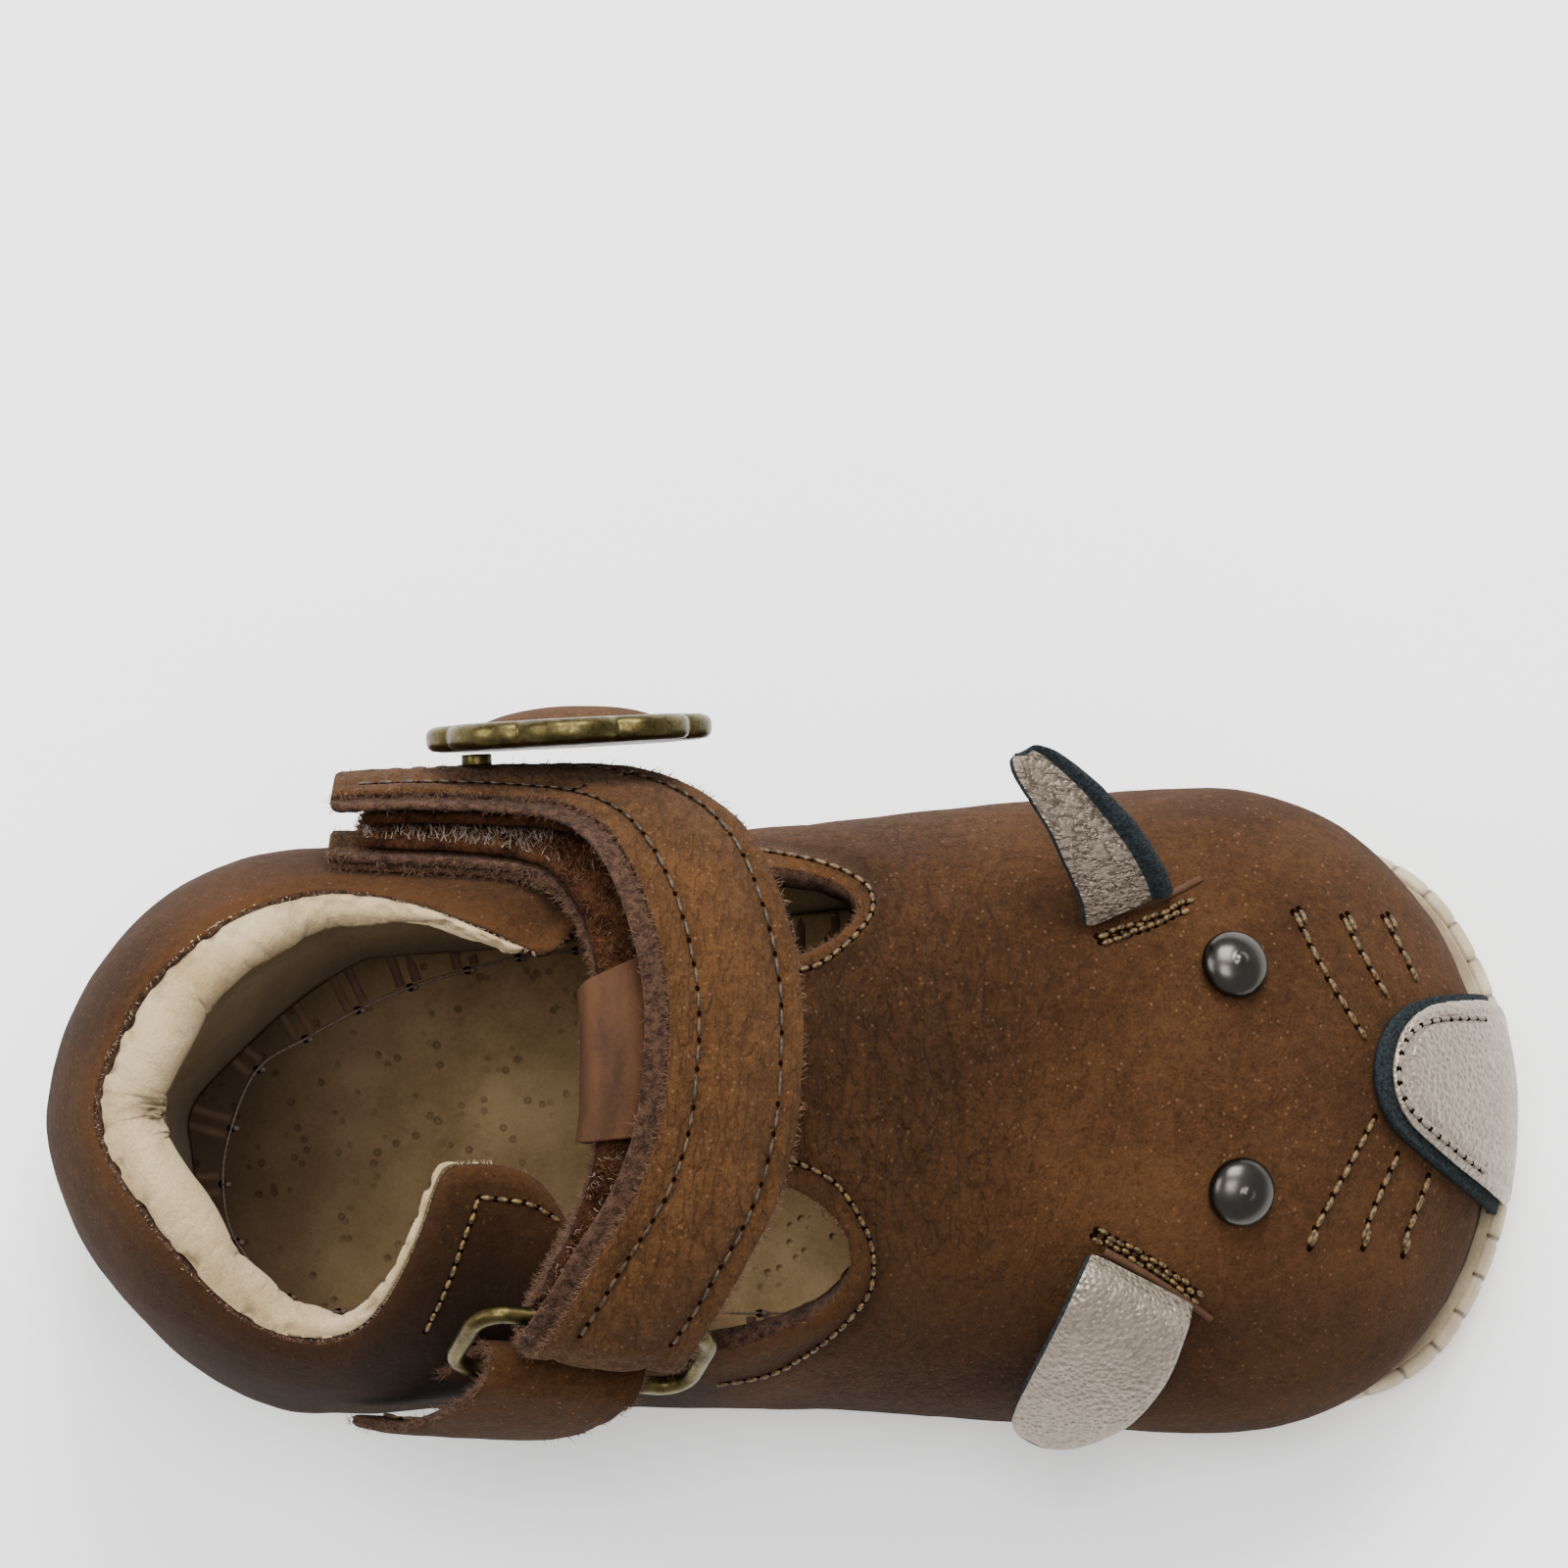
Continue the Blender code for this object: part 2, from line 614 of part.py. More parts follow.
# How high the strap's inner run lies over the last: it climbs over the T-bar loop's lower leather.
def seat(angle):
    crest = smooth(38, 62, angle) * (1 - smooth(112, 134, angle))
    return GAP + STRAP_REST + crest * (LOOP_LEATHER + LAYER_GAP)


def layer_step():
    return STRAP_THICKNESS + PILE_THICKNESS + HOOK_THICKNESS + 3 * LAYER_GAP


# Rows between the table's rows, on a smooth curve.
def refine(rows, steps):
    fine = []
    last = len(rows) - 1
    for k in range(last):
        four = [rows[max(k - 1, 0)], rows[k], rows[k + 1], rows[min(k + 2, last)]]
        for i in range(steps):
            t = i / steps
            fine.append(Run(*(0.5 * (2 * b + (c - a) * t + (2 * a - 5 * b + 4 * c - d) * t * t
                                     + (3 * b - a - 3 * c + d) * t**3)
                              for a, b, c, d in zip(*four))))
    return fine + [rows[-1]]


# One row of a band across the strap, as points on the last lifted by height. The row's width is scaled
# to the band's own width, about its back edge.
def band_row(run, width, height_of, start=0.0, end=1.0, steps=ACROSS_STEPS):
    scale = 1.0
    for _ in range(3):
        points = []
        for i in range(steps + 1):
            share = (start + (end - start) * i / steps) * scale
            along = run.back + (run.front - run.back) * share
            angle = run.back_angle + (run.front_angle - run.back_angle) * share
            lift = height_of(run, angle) + run.tilt * STRAP_WIDTH * (1 - share / scale)
            points.append(last_point(along, angle) + last_normal(along, angle) * lift)
        length = sum((b - a).length for a, b in zip(points, points[1:]))
        scale *= width * (end - start) / length
    return points


# A flat band with thickness, from rows of points on its middle surface.
def band(rows, thickness):
    rings = []
    for k, row in enumerate(rows):
        ahead, behind = rows[min(k + 1, len(rows) - 1)], rows[max(k - 1, 0)]
        upper_side, lower_side = [], []
        for i, point in enumerate(row):
            tangent = ahead[i] - behind[i]
            across = row[min(i + 1, len(row) - 1)] - row[max(i - 1, 0)]
            normal = tangent.cross(across).normalized() * (thickness / 2)
            upper_side.append(point + normal)
            lower_side.append(point - normal)
        rings.append(upper_side + lower_side[::-1])
    return skin(rings, caps=True)


def strap_height(run, angle):
    return seat(angle) + STRAP_THICKNESS / 2 + min(max(run.layer, 0.0), 1.0) * layer_step()


def pile_height(_, angle):
    return seat(angle) + STRAP_THICKNESS + LAYER_GAP + PILE_THICKNESS / 2


def hook_height(_, angle):
    return seat(angle) + STRAP_THICKNESS + 2 * LAYER_GAP + PILE_THICKNESS + HOOK_THICKNESS / 2


def make_strap(collection):
    rows = [band_row(run, STRAP_WIDTH, strap_height) for run in refine(STRAP_RUNS, RUN_STEPS)]
    work = band(rows, STRAP_THICKNESS)
    return add_object("strap", mesh_from(work, "strap"), "nubuck", collection)


def make_tapes(collection):
    margin = TAPE_MARGIN / STRAP_WIDTH
    inner = refine(STRAP_RUNS[:INNER_RUN_ROWS], RUN_STEPS)[1:]
    rows = [band_row(run, STRAP_WIDTH, pile_height, margin, 1 - margin) for run in inner]
    add_object("loop_tape", mesh_from(band(rows, PILE_THICKNESS), "loop_tape"), "pile", collection)
    outer = refine(STRAP_RUNS[-HOOK_RUN_ROWS:], RUN_STEPS)[:-1]
    rows = [band_row(run, STRAP_WIDTH, hook_height, margin, 1 - margin) for run in outer]
    add_object("hook_tape", mesh_from(band(rows, HOOK_THICKNESS), "hook_tape"), "pile", collection)


# The T-bar's end, folded round the strap's inner run: a flat sleeve that follows the strap.
def make_t_bar_loop(collection):
    runs = refine(STRAP_RUNS[:INNER_RUN_ROWS], 8)
    middle = centre_y(0.43) + LOOP_LEAN
    rows = []
    for run in runs:
        points = band_row(run, STRAP_WIDTH, lambda _, angle: 0.0)
        rows.append((points[1].y - middle, run))
    low = min(rows, key=lambda row: abs(row[0] + LOOP_LENGTH / 2))
    high = min(rows, key=lambda row: abs(row[0] - LOOP_LENGTH / 2))
    first, final = sorted((runs.index(low[1]), runs.index(high[1])))
    picked = runs[first:final + 1:2]
    rings = []
    for run in picked:
        side = (LAYER_GAP + LOOP_LEATHER) / STRAP_WIDTH
        hole = LAYER_GAP / STRAP_WIDTH

        def at(extra):
            return lambda _, angle: seat(angle) + extra

        inside = STRAP_THICKNESS + PILE_THICKNESS + 2 * LAYER_GAP
        outer_low = band_row(run, STRAP_WIDTH, at(-LAYER_GAP - LOOP_LEATHER), -side, 1 + side, 4)
        outer_high = band_row(run, STRAP_WIDTH, at(inside + LOOP_LEATHER), -side, 1 + side, 4)
        inner_low = band_row(run, STRAP_WIDTH, at(-LAYER_GAP), -hole, 1 + hole, 4)
        inner_high = band_row(run, STRAP_WIDTH, at(inside), -hole, 1 + hole, 4)
        rings.append((outer_low + outer_high[::-1], inner_low + inner_high[::-1]))
    outer = [ring[0] for ring in rings]
    inner = [ring[1] for ring in rings]
    work = skin(outer + inner[::-1], loop=True)
    return add_object("t_bar_loop", mesh_from(work, "t_bar_loop"), "nubuck", collection)


def tab_height(run, angle):
    step = TAB_THICKNESS + RING_WIRE + 4 * GAP
    return GAP + STRAP_REST + TAB_THICKNESS / 2 + min(max(run.layer, 0.0), 1.0) * step


def make_ring_tab(collection):
    rows = [band_row(run, TAB_WIDTH, tab_height) for run in refine(TAB_RUNS, RUN_STEPS)]
    work = band(rows, TAB_THICKNESS)
    return add_object("ring_tab", mesh_from(work, "ring_tab"), "nubuck", collection)


# The middle of the space inside a band's turn, at its back and front edges.
def turn_centre(table, turn, width, height_of):
    first = band_row(table[turn[0]], width, height_of)
    final = band_row(table[turn[1]], width, height_of)
    return (first[0] + final[0]) / 2, (first[-1] + final[-1]) / 2


# The ring is a long link of round wire. It hangs in the strap's turn and reaches into the tab's turn.
def make_ring(collection):
    upper = turn_centre(STRAP_RUNS, STRAP_TURN, STRAP_WIDTH, strap_height)
    lower = turn_centre(TAB_RUNS, TAB_TURN, TAB_WIDTH, tab_height)
    axis = ((upper[1] - upper[0]).normalized() + (lower[1] - lower[0]).normalized()).normalized()
    between = (lower[0] + lower[1] - upper[0] - upper[1]) / 2
    shift = axis * between.dot(axis)
    down = (between - shift).normalized()
    centre = (upper[0] + upper[1] + shift) / 2 + down * (RING_WIDTH - RING_WIRE) / 2
    half_long = (RING_LENGTH - RING_WIRE) / 2 - RING_CORNER
    half_wide = (RING_WIDTH - RING_WIRE) / 2 - RING_CORNER
    path = []
    for index, (side_long, side_wide) in enumerate(((1, 1), (-1, 1), (-1, -1), (1, -1))):
        for step in range(5):
            turn = math.pi / 2 * (index + step / 4)
            path.append(centre + axis * (side_long * half_long + RING_CORNER * math.cos(turn))
                        + down * (side_wide * half_wide + RING_CORNER * math.sin(turn)))
    curve = bpy.data.curves.new("ring", "CURVE")
    curve.dimensions = "3D"
    curve.bevel_depth = RING_WIRE / 2
    curve.bevel_resolution = 2
    spline = curve.splines.new("POLY")
    spline.points.add(len(path) - 1)
    for slot, point in zip(spline.points, path):
        slot.co = (*point, 1)
    spline.use_cyclic_u = True
    item = bpy.data.objects.new("ring", curve)
    curve.materials.append(material("brass"))
    collection.objects.link(item)
    return item


# The ornament stands upright on a post on the strap's free end, turned a little out towards the toe.
def ornament_place():
    before, after = [band_row(run, STRAP_WIDTH, strap_height) for run in ORNAMENT_RUNS]
    turn = math.radians(ORNAMENT_TURN)
    along = Vector((math.cos(turn), math.sin(turn), 0))
    across = Vector((-along.y, along.x, 0))
    lean = math.radians(ORNAMENT_LEAN)
    outward = across * math.cos(lean) + Vector((0, 0, math.sin(lean)))
    stand = STRAP_THICKNESS / 2 + 3 * GAP + POST_LENGTH
    centre = (before[1] + after[1]) / 2 + along * ORNAMENT_AHEAD + outward * stand
    return Matrix.Translation(centre) @ Matrix((along, outward.cross(along), outward)).transposed().to_4x4()


def make_ornament(collection):
    place = ornament_place()

    half = ORNAMENT_WIDTH / 2
    inlay = INLAY_WIDTH / 2
    thick = ORNAMENT_THICKNESS

    def scalloped(angle):
        return half - PETAL_DEPTH * (1 - abs(math.cos(angle * ORNAMENT_PETALS / 2))) ** 1.5

    def round_hole(_):
        return inlay + GAP

    def round_inlay(_):
        return inlay

    def disc(levels, count):
        angles = [math.tau * i / count for i in range(count)]
        return skin([[Vector((radius_of(a) * share * math.cos(a), radius_of(a) * share * math.sin(a), height))
                      for a in angles] for radius_of, share, height in levels])

    floor = thick - INLAY_DEPTH
    work = disc([(scalloped, 0.0, 0.0), (scalloped, 0.95, 0.0), (scalloped, 1.0, thick * 0.25),
                 (scalloped, 1.0, thick * 0.75), (scalloped, 0.95, thick), (round_hole, 1.0, thick),
                 (round_hole, 1.0, floor), (round_hole, 0.0, floor)], ORNAMENT_PETALS * 6)
    bmesh.ops.transform(work, matrix=place, verts=work.verts)
    add_object("ornament_plate", mesh_from(work, "ornament_plate"), "brass", collection)

    crown = [(round_inlay, share, thick + INLAY_CROWN * rise) for share, rise in
             ((1.0, 0.0), (0.85, 0.55), (0.5, 0.9), (0.0, 1.0))]
    work = disc([(round_inlay, 0.0, floor + GAP), (round_inlay, 1.0, floor + GAP)] + crown, 24)
    bmesh.ops.transform(work, matrix=place, verts=work.verts)
    add_object("ornament_inlay", mesh_from(work, "ornament_inlay"), "nubuck", collection)

    work = bmesh.new()
    spot = Matrix.Translation((-ORNAMENT_AHEAD, 0, -GAP - POST_LENGTH / 2))
    bmesh.ops.create_cone(work, cap_ends=True, segments=12, radius1=POST_WIDTH / 2, radius2=POST_WIDTH / 2,
                          depth=POST_LENGTH, matrix=place @ spot)
    add_object("ornament_post", mesh_from(work, "ornament_post"), "brass", collection)


def make_eyes(collection):
    for name, edge in EYES.items():
        spot = edge_point(edge)
        height = dome_over(spot.x, spot.y)
        reach = EYE_WIDTH / 4
        slope_x = (dome_over(spot.x + reach, spot.y) - dome_over(spot.x - reach, spot.y)) / (2 * reach)
        slope_y = (dome_over(spot.x, spot.y + reach) - dome_over(spot.x, spot.y - reach)) / (2 * reach)
        normal = Vector((-slope_x, -slope_y, 1)).normalized()
        profile = [(0.0, 0.0), (0.86, 0.0), (1.0, 0.22), (0.92, 0.55), (0.68, 0.83), (0.36, 0.96), (0.0, 1.0)]
        rings = []
        for share, rise in profile:
            radius = share * EYE_WIDTH / 2
            rings.append([Vector((radius * math.cos(a), radius * math.sin(a), rise * EYE_HEIGHT))
                          for a in (math.tau * i / 16 for i in range(16))])
        work = skin(rings)
        turn = normal.to_track_quat("Z", "Y").to_matrix().to_4x4()
        seat_point = Vector((spot.x, spot.y, height)) + normal * FACE_GAP
        bmesh.ops.transform(work, matrix=Matrix.Translation(seat_point) @ turn, verts=work.verts)
        add_object(name, mesh_from(work, name), "gunmetal", collection)


# Each ear is a curled leaf of leather that stands on the vamp at its slot.
def make_ears(collection):
    for name, (rear, front, table) in EARS.items():
        start, stop = edge_point(rear), edge_point(front)
        slot = (stop - start).normalized()
        side = 1 if start.y > 0 else -1
        away = Vector((-slot.y, slot.x, 0)) * side
        rows = []
        for row in table:
            points = []
            for k in range(3):
                share = row.rear + (row.front - row.rear) * k / 2
                plan = start + slot * (share * EAR_WIDTH) + away * (row.reach * EAR_LENGTH)
                base = start + slot * (share * EAR_WIDTH)
                height = dome_over(base.x, base.y) + EAR_THICKNESS / 2 + EAR_GAP
                plan.z = height + row.rise * EAR_LENGTH
                points.append(plan)
            rows.append(points)
        work = band(rows, EAR_THICKNESS)
        add_object(name, mesh_from(work, name), "metallic", collection)


# The nose is cut from the upper's own surface, one gap outside it.
def make_nose(collection):
    outline = round_corners([edge_point(edge) for edge in NOSE])
    work = upper_surface(mid_steps=24, fan_steps=24, dome_steps=18)
    far = [v for v in work.verts if along_of(v.co.x) < 0.86]
    bmesh.ops.delete(work, geom=far, context="VERTS")
    bmesh.ops.recalc_face_normals(work, faces=work.faces)
    work.normal_update()
    outward = 1 if sum(f.normal.z for f in work.faces) > 0 else -1
    moves = {v: v.normal * outward * FACE_GAP for v in work.verts}
    for vert, move in moves.items():
        vert.co += move
    floor = ground(world_x(1.0)) + SOLE_THICKNESS + TOE_RIM_HEIGHT + 2 * GAP

    def distance(point):
        return min(-outline_distance(point, outline), point.z - floor)

    trim(work, distance)
    item = add_object("nose_patch", mesh_from(work, "nose_patch"), "metallic", collection)
    return thicken(item, NOSE_THICKNESS, True)


def main():
    for item in list(bpy.data.objects):
        bpy.data.objects.remove(item, do_unlink=True)
    shoe = bpy.data.collections.new("t_bar_shoe")
    cutters = bpy.data.collections.new("cutters")
    bpy.context.scene.collection.children.link(shoe)
    bpy.context.scene.collection.children.link(cutters)
    outsole = make_outsole(shoe)
    cut_grooves(outsole, cutters)
    make_insole(shoe)
    make_upper(shoe)
    make_collar_padding(shoe)
    make_strap(shoe)
    make_tapes(shoe)
    make_t_bar_loop(shoe)
    make_ring_tab(shoe)
    make_ring(shoe)
    make_ornament(shoe)
    make_eyes(shoe)
    make_ears(shoe)
    make_nose(shoe)


main()
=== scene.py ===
# %% [markdown]
# # A baby's T-bar shoe, dressed from its CAD frame
# The shoe is a left one, about 126 mm long: brown nubuck over a rounded last, a padded cream collar, a
# thin beige sole, a strap that turns back through a ring, and an animal's face on the toe. The CAD model
# is loaded as a fixed frame. Each soft piece is then made again with more detail, in the same place.
# Units are metres: +X points to the toe, +Y to the lateral side and +Z up.

# %% Load the frame
import math
import random
from collections import namedtuple

import bmesh
import bpy
from mathutils import Matrix, Vector, kdtree, noise
from mathutils.bvhtree import BVHTree


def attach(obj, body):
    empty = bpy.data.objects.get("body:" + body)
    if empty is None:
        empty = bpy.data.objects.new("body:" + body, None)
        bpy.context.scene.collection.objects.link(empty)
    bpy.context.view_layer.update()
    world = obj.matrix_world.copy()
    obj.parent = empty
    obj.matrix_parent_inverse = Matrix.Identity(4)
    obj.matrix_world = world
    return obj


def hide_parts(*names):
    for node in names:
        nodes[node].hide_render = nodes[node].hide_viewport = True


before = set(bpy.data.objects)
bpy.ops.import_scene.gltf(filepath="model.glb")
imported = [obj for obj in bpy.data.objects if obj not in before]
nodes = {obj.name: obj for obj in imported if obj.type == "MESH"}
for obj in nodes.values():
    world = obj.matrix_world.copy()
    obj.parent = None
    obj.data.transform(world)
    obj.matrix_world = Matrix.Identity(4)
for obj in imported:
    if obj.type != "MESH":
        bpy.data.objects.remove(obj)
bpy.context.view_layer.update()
dice = random.Random(7)
MM = 0.001


def linked(name, data):
    item = bpy.data.objects.new(name, data)
    bpy.context.scene.collection.objects.link(item)
    return item


# %% [markdown]
# ## The camera
# The photograph looks almost straight down on the shoe, from a little over the medial side, with the toe
# to the right. A long lens from 1.2 m gives the same small perspective. The lens is worked out from the
# width of the picture at the shoe, so nothing has to be shifted.

# %% Camera
VIEW_DISTANCE = 1.2
VIEW_TILT = math.radians(4.5)
VIEW_FOOT = Vector((0.04093, 0.00265, 0))
VIEW_AIM = VIEW_FOOT + Vector((0, 0.02897, 0))
PICTURE_HALF_WIDTH = 0.06938

eye = VIEW_FOOT + Vector((0, -math.sin(VIEW_TILT), math.cos(VIEW_TILT))) * VIEW_DISTANCE
back = (eye - VIEW_AIM).normalized()
right = (Vector((1, 0, 0)) - back * back.x).normalized()
up = back.cross(right)
lens_data = bpy.data.cameras.new("camera")
camera = linked("camera", lens_data)
camera.matrix_world = Matrix(((right.x, up.x, back.x, eye.x), (right.y, up.y, back.y, eye.y),
                              (right.z, up.z, back.z, eye.z), (0, 0, 0, 1)))
lens_data.sensor_width = 36
lens_data.lens = lens_data.sensor_width / 2 * (eye - VIEW_AIM).length / PICTURE_HALF_WIDTH
lens_data.clip_start = 0.01
bpy.context.scene.camera = camera
print("lens in mm:", round(lens_data.lens))

# %% [markdown]
# ## Floor and light
# The shoe stands on a plain pale floor. A large soft lamp over the lateral side is the main light, so the
# medial side falls into shade and throws a soft shadow towards the bottom of the picture, as in the
# photograph. A weak lamp from the heel, a soft one from above and a pale world fill the rest.

# %% Floor, lights and world
FLOOR_SIZE = 6.0
LAMP_AIM = Vector((0.04, 0, 0.02))
WORLD_STRENGTH = 0.70
floor_mesh = bpy.data.meshes.new("floor")
work = bmesh.new()
bmesh.ops.create_grid(work, x_segments=1, y_segments=1, size=FLOOR_SIZE / 2)
work.to_mesh(floor_mesh)
work.free()
floor = linked("floor", floor_mesh)


def soft_lamp(name, place, size, watts):
    lamp = bpy.data.lights.new(name, "AREA")
    lamp.shape = "SQUARE"
    lamp.size = size
    lamp.energy = watts
    item = linked(name, lamp)
    item.location = place
    item.rotation_euler = (Vector(place) - LAMP_AIM).to_track_quat("Z", "Y").to_euler()


soft_lamp("key_lamp", (0.12, 0.80, 0.85), 0.60, 23.0)
soft_lamp("heel_lamp", (-0.70, 0.20, 0.60), 0.50, 6.0)
soft_lamp("top_lamp", (0.05, 0.10, 1.60), 0.60, 18.0)
world = bpy.data.worlds.new("studio")
world.use_nodes = True
world.node_tree.nodes["Background"].inputs["Color"].default_value = (1.0, 1.0, 1.0, 1)
world.node_tree.nodes["Background"].inputs["Strength"].default_value = WORLD_STRENGTH
bpy.context.scene.world = world

# %% [markdown]
# ## Shader maths as plain expressions
# A finish is written as sums and products of its textures. The class below wraps one socket, and its
# operators add Math nodes. Every other node comes from one method, `Finish.node`.

# %% Finishes
class Amount:
    def __init__(self, finish, socket):
        self.finish, self.socket = finish, socket

    def _with(self, operation, first, second):
        return self.finish.node("ShaderNodeMath", {"operation": operation}, {0: first, 1: second})

    def __add__(self, other):
        return self._with("ADD", self, other)

    def __sub__(self, other):
        return self._with("SUBTRACT", self, other)

    def __rsub__(self, other):
        return self._with("SUBTRACT", other, self)

    def __mul__(self, other):
        return self._with("MULTIPLY", self, other)

    __radd__ = __add__
    __rmul__ = __mul__


class Finish:
    def __init__(self, name, roughness, **settings):
        self.material = bpy.data.materials.new(name)
        self.material.use_nodes = True
        self.tree = self.material.node_tree
        self.shader = self.tree.nodes["Principled BSDF"]
        self.shader.inputs["Roughness"].default_value = roughness
        for key, value in settings.items():
            self.shader.inputs[key.replace("_", " ")].default_value = value
        self.place = self.node("ShaderNodeTexCoord", {}, {}, "Object")

    def node(self, kind, settings, values, output=0):
        made = self.tree.nodes.new(kind)
        for key, value in settings.items():
            setattr(made, key, value)
        for key, value in values.items():
            if isinstance(value, Amount):
                self.tree.links.new(value.socket, made.inputs[key])
            else:
                made.inputs[key].default_value = value
        return Amount(self, made.outputs[output])

    def squash(self, scales, turn=(0, 0, 0)):
        return self.node("ShaderNodeMapping", {}, {"Vector": self.place, "Rotation": turn, "Scale": scales})

    # A cloudy texture with features of a size in millimetres.
    def cloud(self, size, detail=3.0, rough=0.55, place=None):
        return self.node("ShaderNodeTexNoise", {}, {"Vector": place or self.place, "Scale": 1000 / size,
                                                    "Detail": detail, "Roughness": rough})

    # The distance to the nearest of many scattered points, in shares of a cell of a size in millimetres.
    def dots(self, size):
        return self.node("ShaderNodeTexVoronoi", {}, {"Vector": self.place, "Scale": 1000 / size})

    # Thin winding lines, 0 on the line and 1 away from it: where a cloud crosses its middle value.
    def lines(self, size, width, place=None, detail=3.0):
        cloud = self.cloud(size, detail, 0.55, place)
        away = self.node("ShaderNodeMath", {"operation": "ABSOLUTE"}, {0: cloud - 0.5})
        return self.between(away, 0.0, width)

    def between(self, value, low, high, start=0.0, stop=1.0):
        return self.node("ShaderNodeMapRange", {"interpolation_type": "SMOOTHSTEP"},
                         {"Value": value, "From Min": low, "From Max": high, "To Min": start, "To Max": stop})

    def attribute(self, name):
        return self.node("ShaderNodeAttribute", {"attribute_name": name}, {}, "Fac")

    def blend(self, mask, first, second):
        return self.node("ShaderNodeMix", {"data_type": "RGBA"}, {0: mask, 6: first, 7: second}, 2)

    def colour(self, value):
        self.tree.links.new(value.socket, self.shader.inputs["Base Color"])

    # The usual colour: from deep to pale as a tone goes from low to high, and darkened towards a given brown where the
    # piece's painted-shade attribute is set.
    def dye(self, tone, low, high, deep, pale, dark=None):
        skin = self.blend(self.between(tone, low, high), deep, pale)
        self.colour(self.blend(self.attribute("painted_shade"), skin, dark) if dark else skin)

    def roughness(self, value):
        self.tree.links.new(value.socket, self.shader.inputs["Roughness"])

    def relief(self, height, depth):
        bump = self.node("ShaderNodeBump", {}, {"Height": height, "Distance": depth, "Strength": 1.0}, "Normal")
        self.tree.links.new(bump.socket, self.shader.inputs["Normal"])


def linear(red, green, blue):
    channels = [value / 255 for value in (red, green, blue)]
    return (*[value / 12.92 if value <= 0.04045 else ((value + 0.055) / 1.055) ** 2.4 for value in channels], 1)


# A plain finish whose colour goes from deep to pale with one cloud.
def two_tone(name, roughness, size, detail, deep, pale, **settings):
    made = Finish(name, roughness, **settings)
    made.colour(made.blend(made.cloud(size, detail), deep, pale))
    return made


# The floor is white card, lit so brightly in the photograph that it almost loses its grain.
white_card = two_tone("white_card", 0.9, 40.0, 2.0, (0.93, 0.93, 0.93, 1), (0.97, 0.97, 0.97, 1),
                      Emission_Color=(1, 1, 1, 1), Emission_Strength=0.32)
floor.data.materials.append(white_card.material)
print("finishes can be written as expressions")

# %% [markdown]
# ## The last, the same as in the CAD model
# Every leather piece lies on the last, so its form comes first. A row of the table gives a section across
# the foot: how far along it lies, its share of ball width, how far it leans, the height of its widest
# place, its height and how square its shoulder is. Sizes are the shoe's own.

# %% The last
LENGTH, BALL_WIDTH, HEEL_WIDTH, INSTEP_HEIGHT = 0.1265, 0.0568, 0.0466, 0.0515
HEEL_REACH, TOE_REACH = 0.0220, 0.0249
WALL, GAP, LAYER_GAP = 0.0020, 0.0003, 0.0005
SOLE_THICKNESS, SOLE_INSET, TOE_SPRING, HEEL_LIFT, ARCH_LIFT = 0.0036, 0.0026, 0.0032, 0.0008, 0.0007
TOE_RIM_HEIGHT, TOE_RIM_WIDTH, TOE_RIM_PROUD, SIDE_RIM_HEIGHT = 0.0026, 0.0015, 0.0017, 0.0006
INSOLE_THICKNESS = 0.0020

Section = namedtuple("Section", "along ball lean belt rise square")
SECTIONS = [
    Section(0.000, 0.00, -0.014, 0.270, 1.030, 3.0),
    Section(0.174, 0.00, -0.014, 0.270, 1.020, 3.0),
    Section(0.250, 0.08, -0.011, 0.265, 1.005, 2.95),
    Section(0.330, 0.16, -0.005, 0.260, 0.995, 2.85),
    Section(0.400, 0.24, 0.003, 0.255, 0.975, 2.75),
    Section(0.470, 0.33, 0.011, 0.250, 0.920, 2.60),
    Section(0.550, 0.47, 0.019, 0.245, 0.840, 2.45),
    Section(0.640, 0.70, 0.026, 0.240, 0.765, 2.35),
    Section(0.720, 0.88, 0.029, 0.232, 0.705, 2.30),
    Section(0.788, 1.00, 0.031, 0.222, 0.655, 2.25),
    Section(0.870, 1.00, 0.031, 0.215, 0.590, 2.25),
    Section(0.940, 1.00, 0.031, 0.208, 0.520, 2.25),
    Section(1.000, 1.00, 0.031, 0.205, 0.450, 2.25),
]
HEEL_POLE = HEEL_REACH / LENGTH
TOE_POLE = 1 - (TOE_REACH + TOE_RIM_PROUD) / LENGTH
HEEL_FULL = {1: 2.0, -1: 1.68}
TOE_FULL = {1: 1.92, -1: 2.12}


def clamp(value, low=0.0, high=1.0):
    return min(max(value, low), high)


def section(along, column):
    last = len(SECTIONS) - 1
    k = next((i for i in range(last) if along <= SECTIONS[i + 1].along), last - 1)
    a, b = SECTIONS[k], SECTIONS[k + 1]
    before, after = SECTIONS[max(k - 1, 0)], SECTIONS[min(k + 2, last)]
    span = b.along - a.along
    t = clamp((along - a.along) / span)
    va, vb = getattr(a, column), getattr(b, column)
    slope_a = (vb - getattr(before, column)) / (b.along - before.along) * span
    slope_b = (getattr(after, column) - va) / (after.along - a.along) * span
    return ((2 * t**3 - 3 * t**2 + 1) * va + (t**3 - 2 * t**2 + t) * slope_a
            + (3 * t**2 - 2 * t**3) * vb + (t**3 - t**2) * slope_b)


def smooth(low, high, value):
    t = clamp((value - low) / (high - low))
    return t * t * (3 - 2 * t)


def world_x(along):
    return along * LENGTH - HEEL_REACH


def along_of(x):
    return (x + HEEL_REACH) / LENGTH


def held(along):
    return clamp(along, HEEL_POLE, TOE_POLE)


def half_width(along):
    ball = section(held(along), "ball")
    return 0.5 * (HEEL_WIDTH * (1 - ball) + BALL_WIDTH * ball)


def centre_y(along):
    return section(held(along), "lean") * BALL_WIDTH


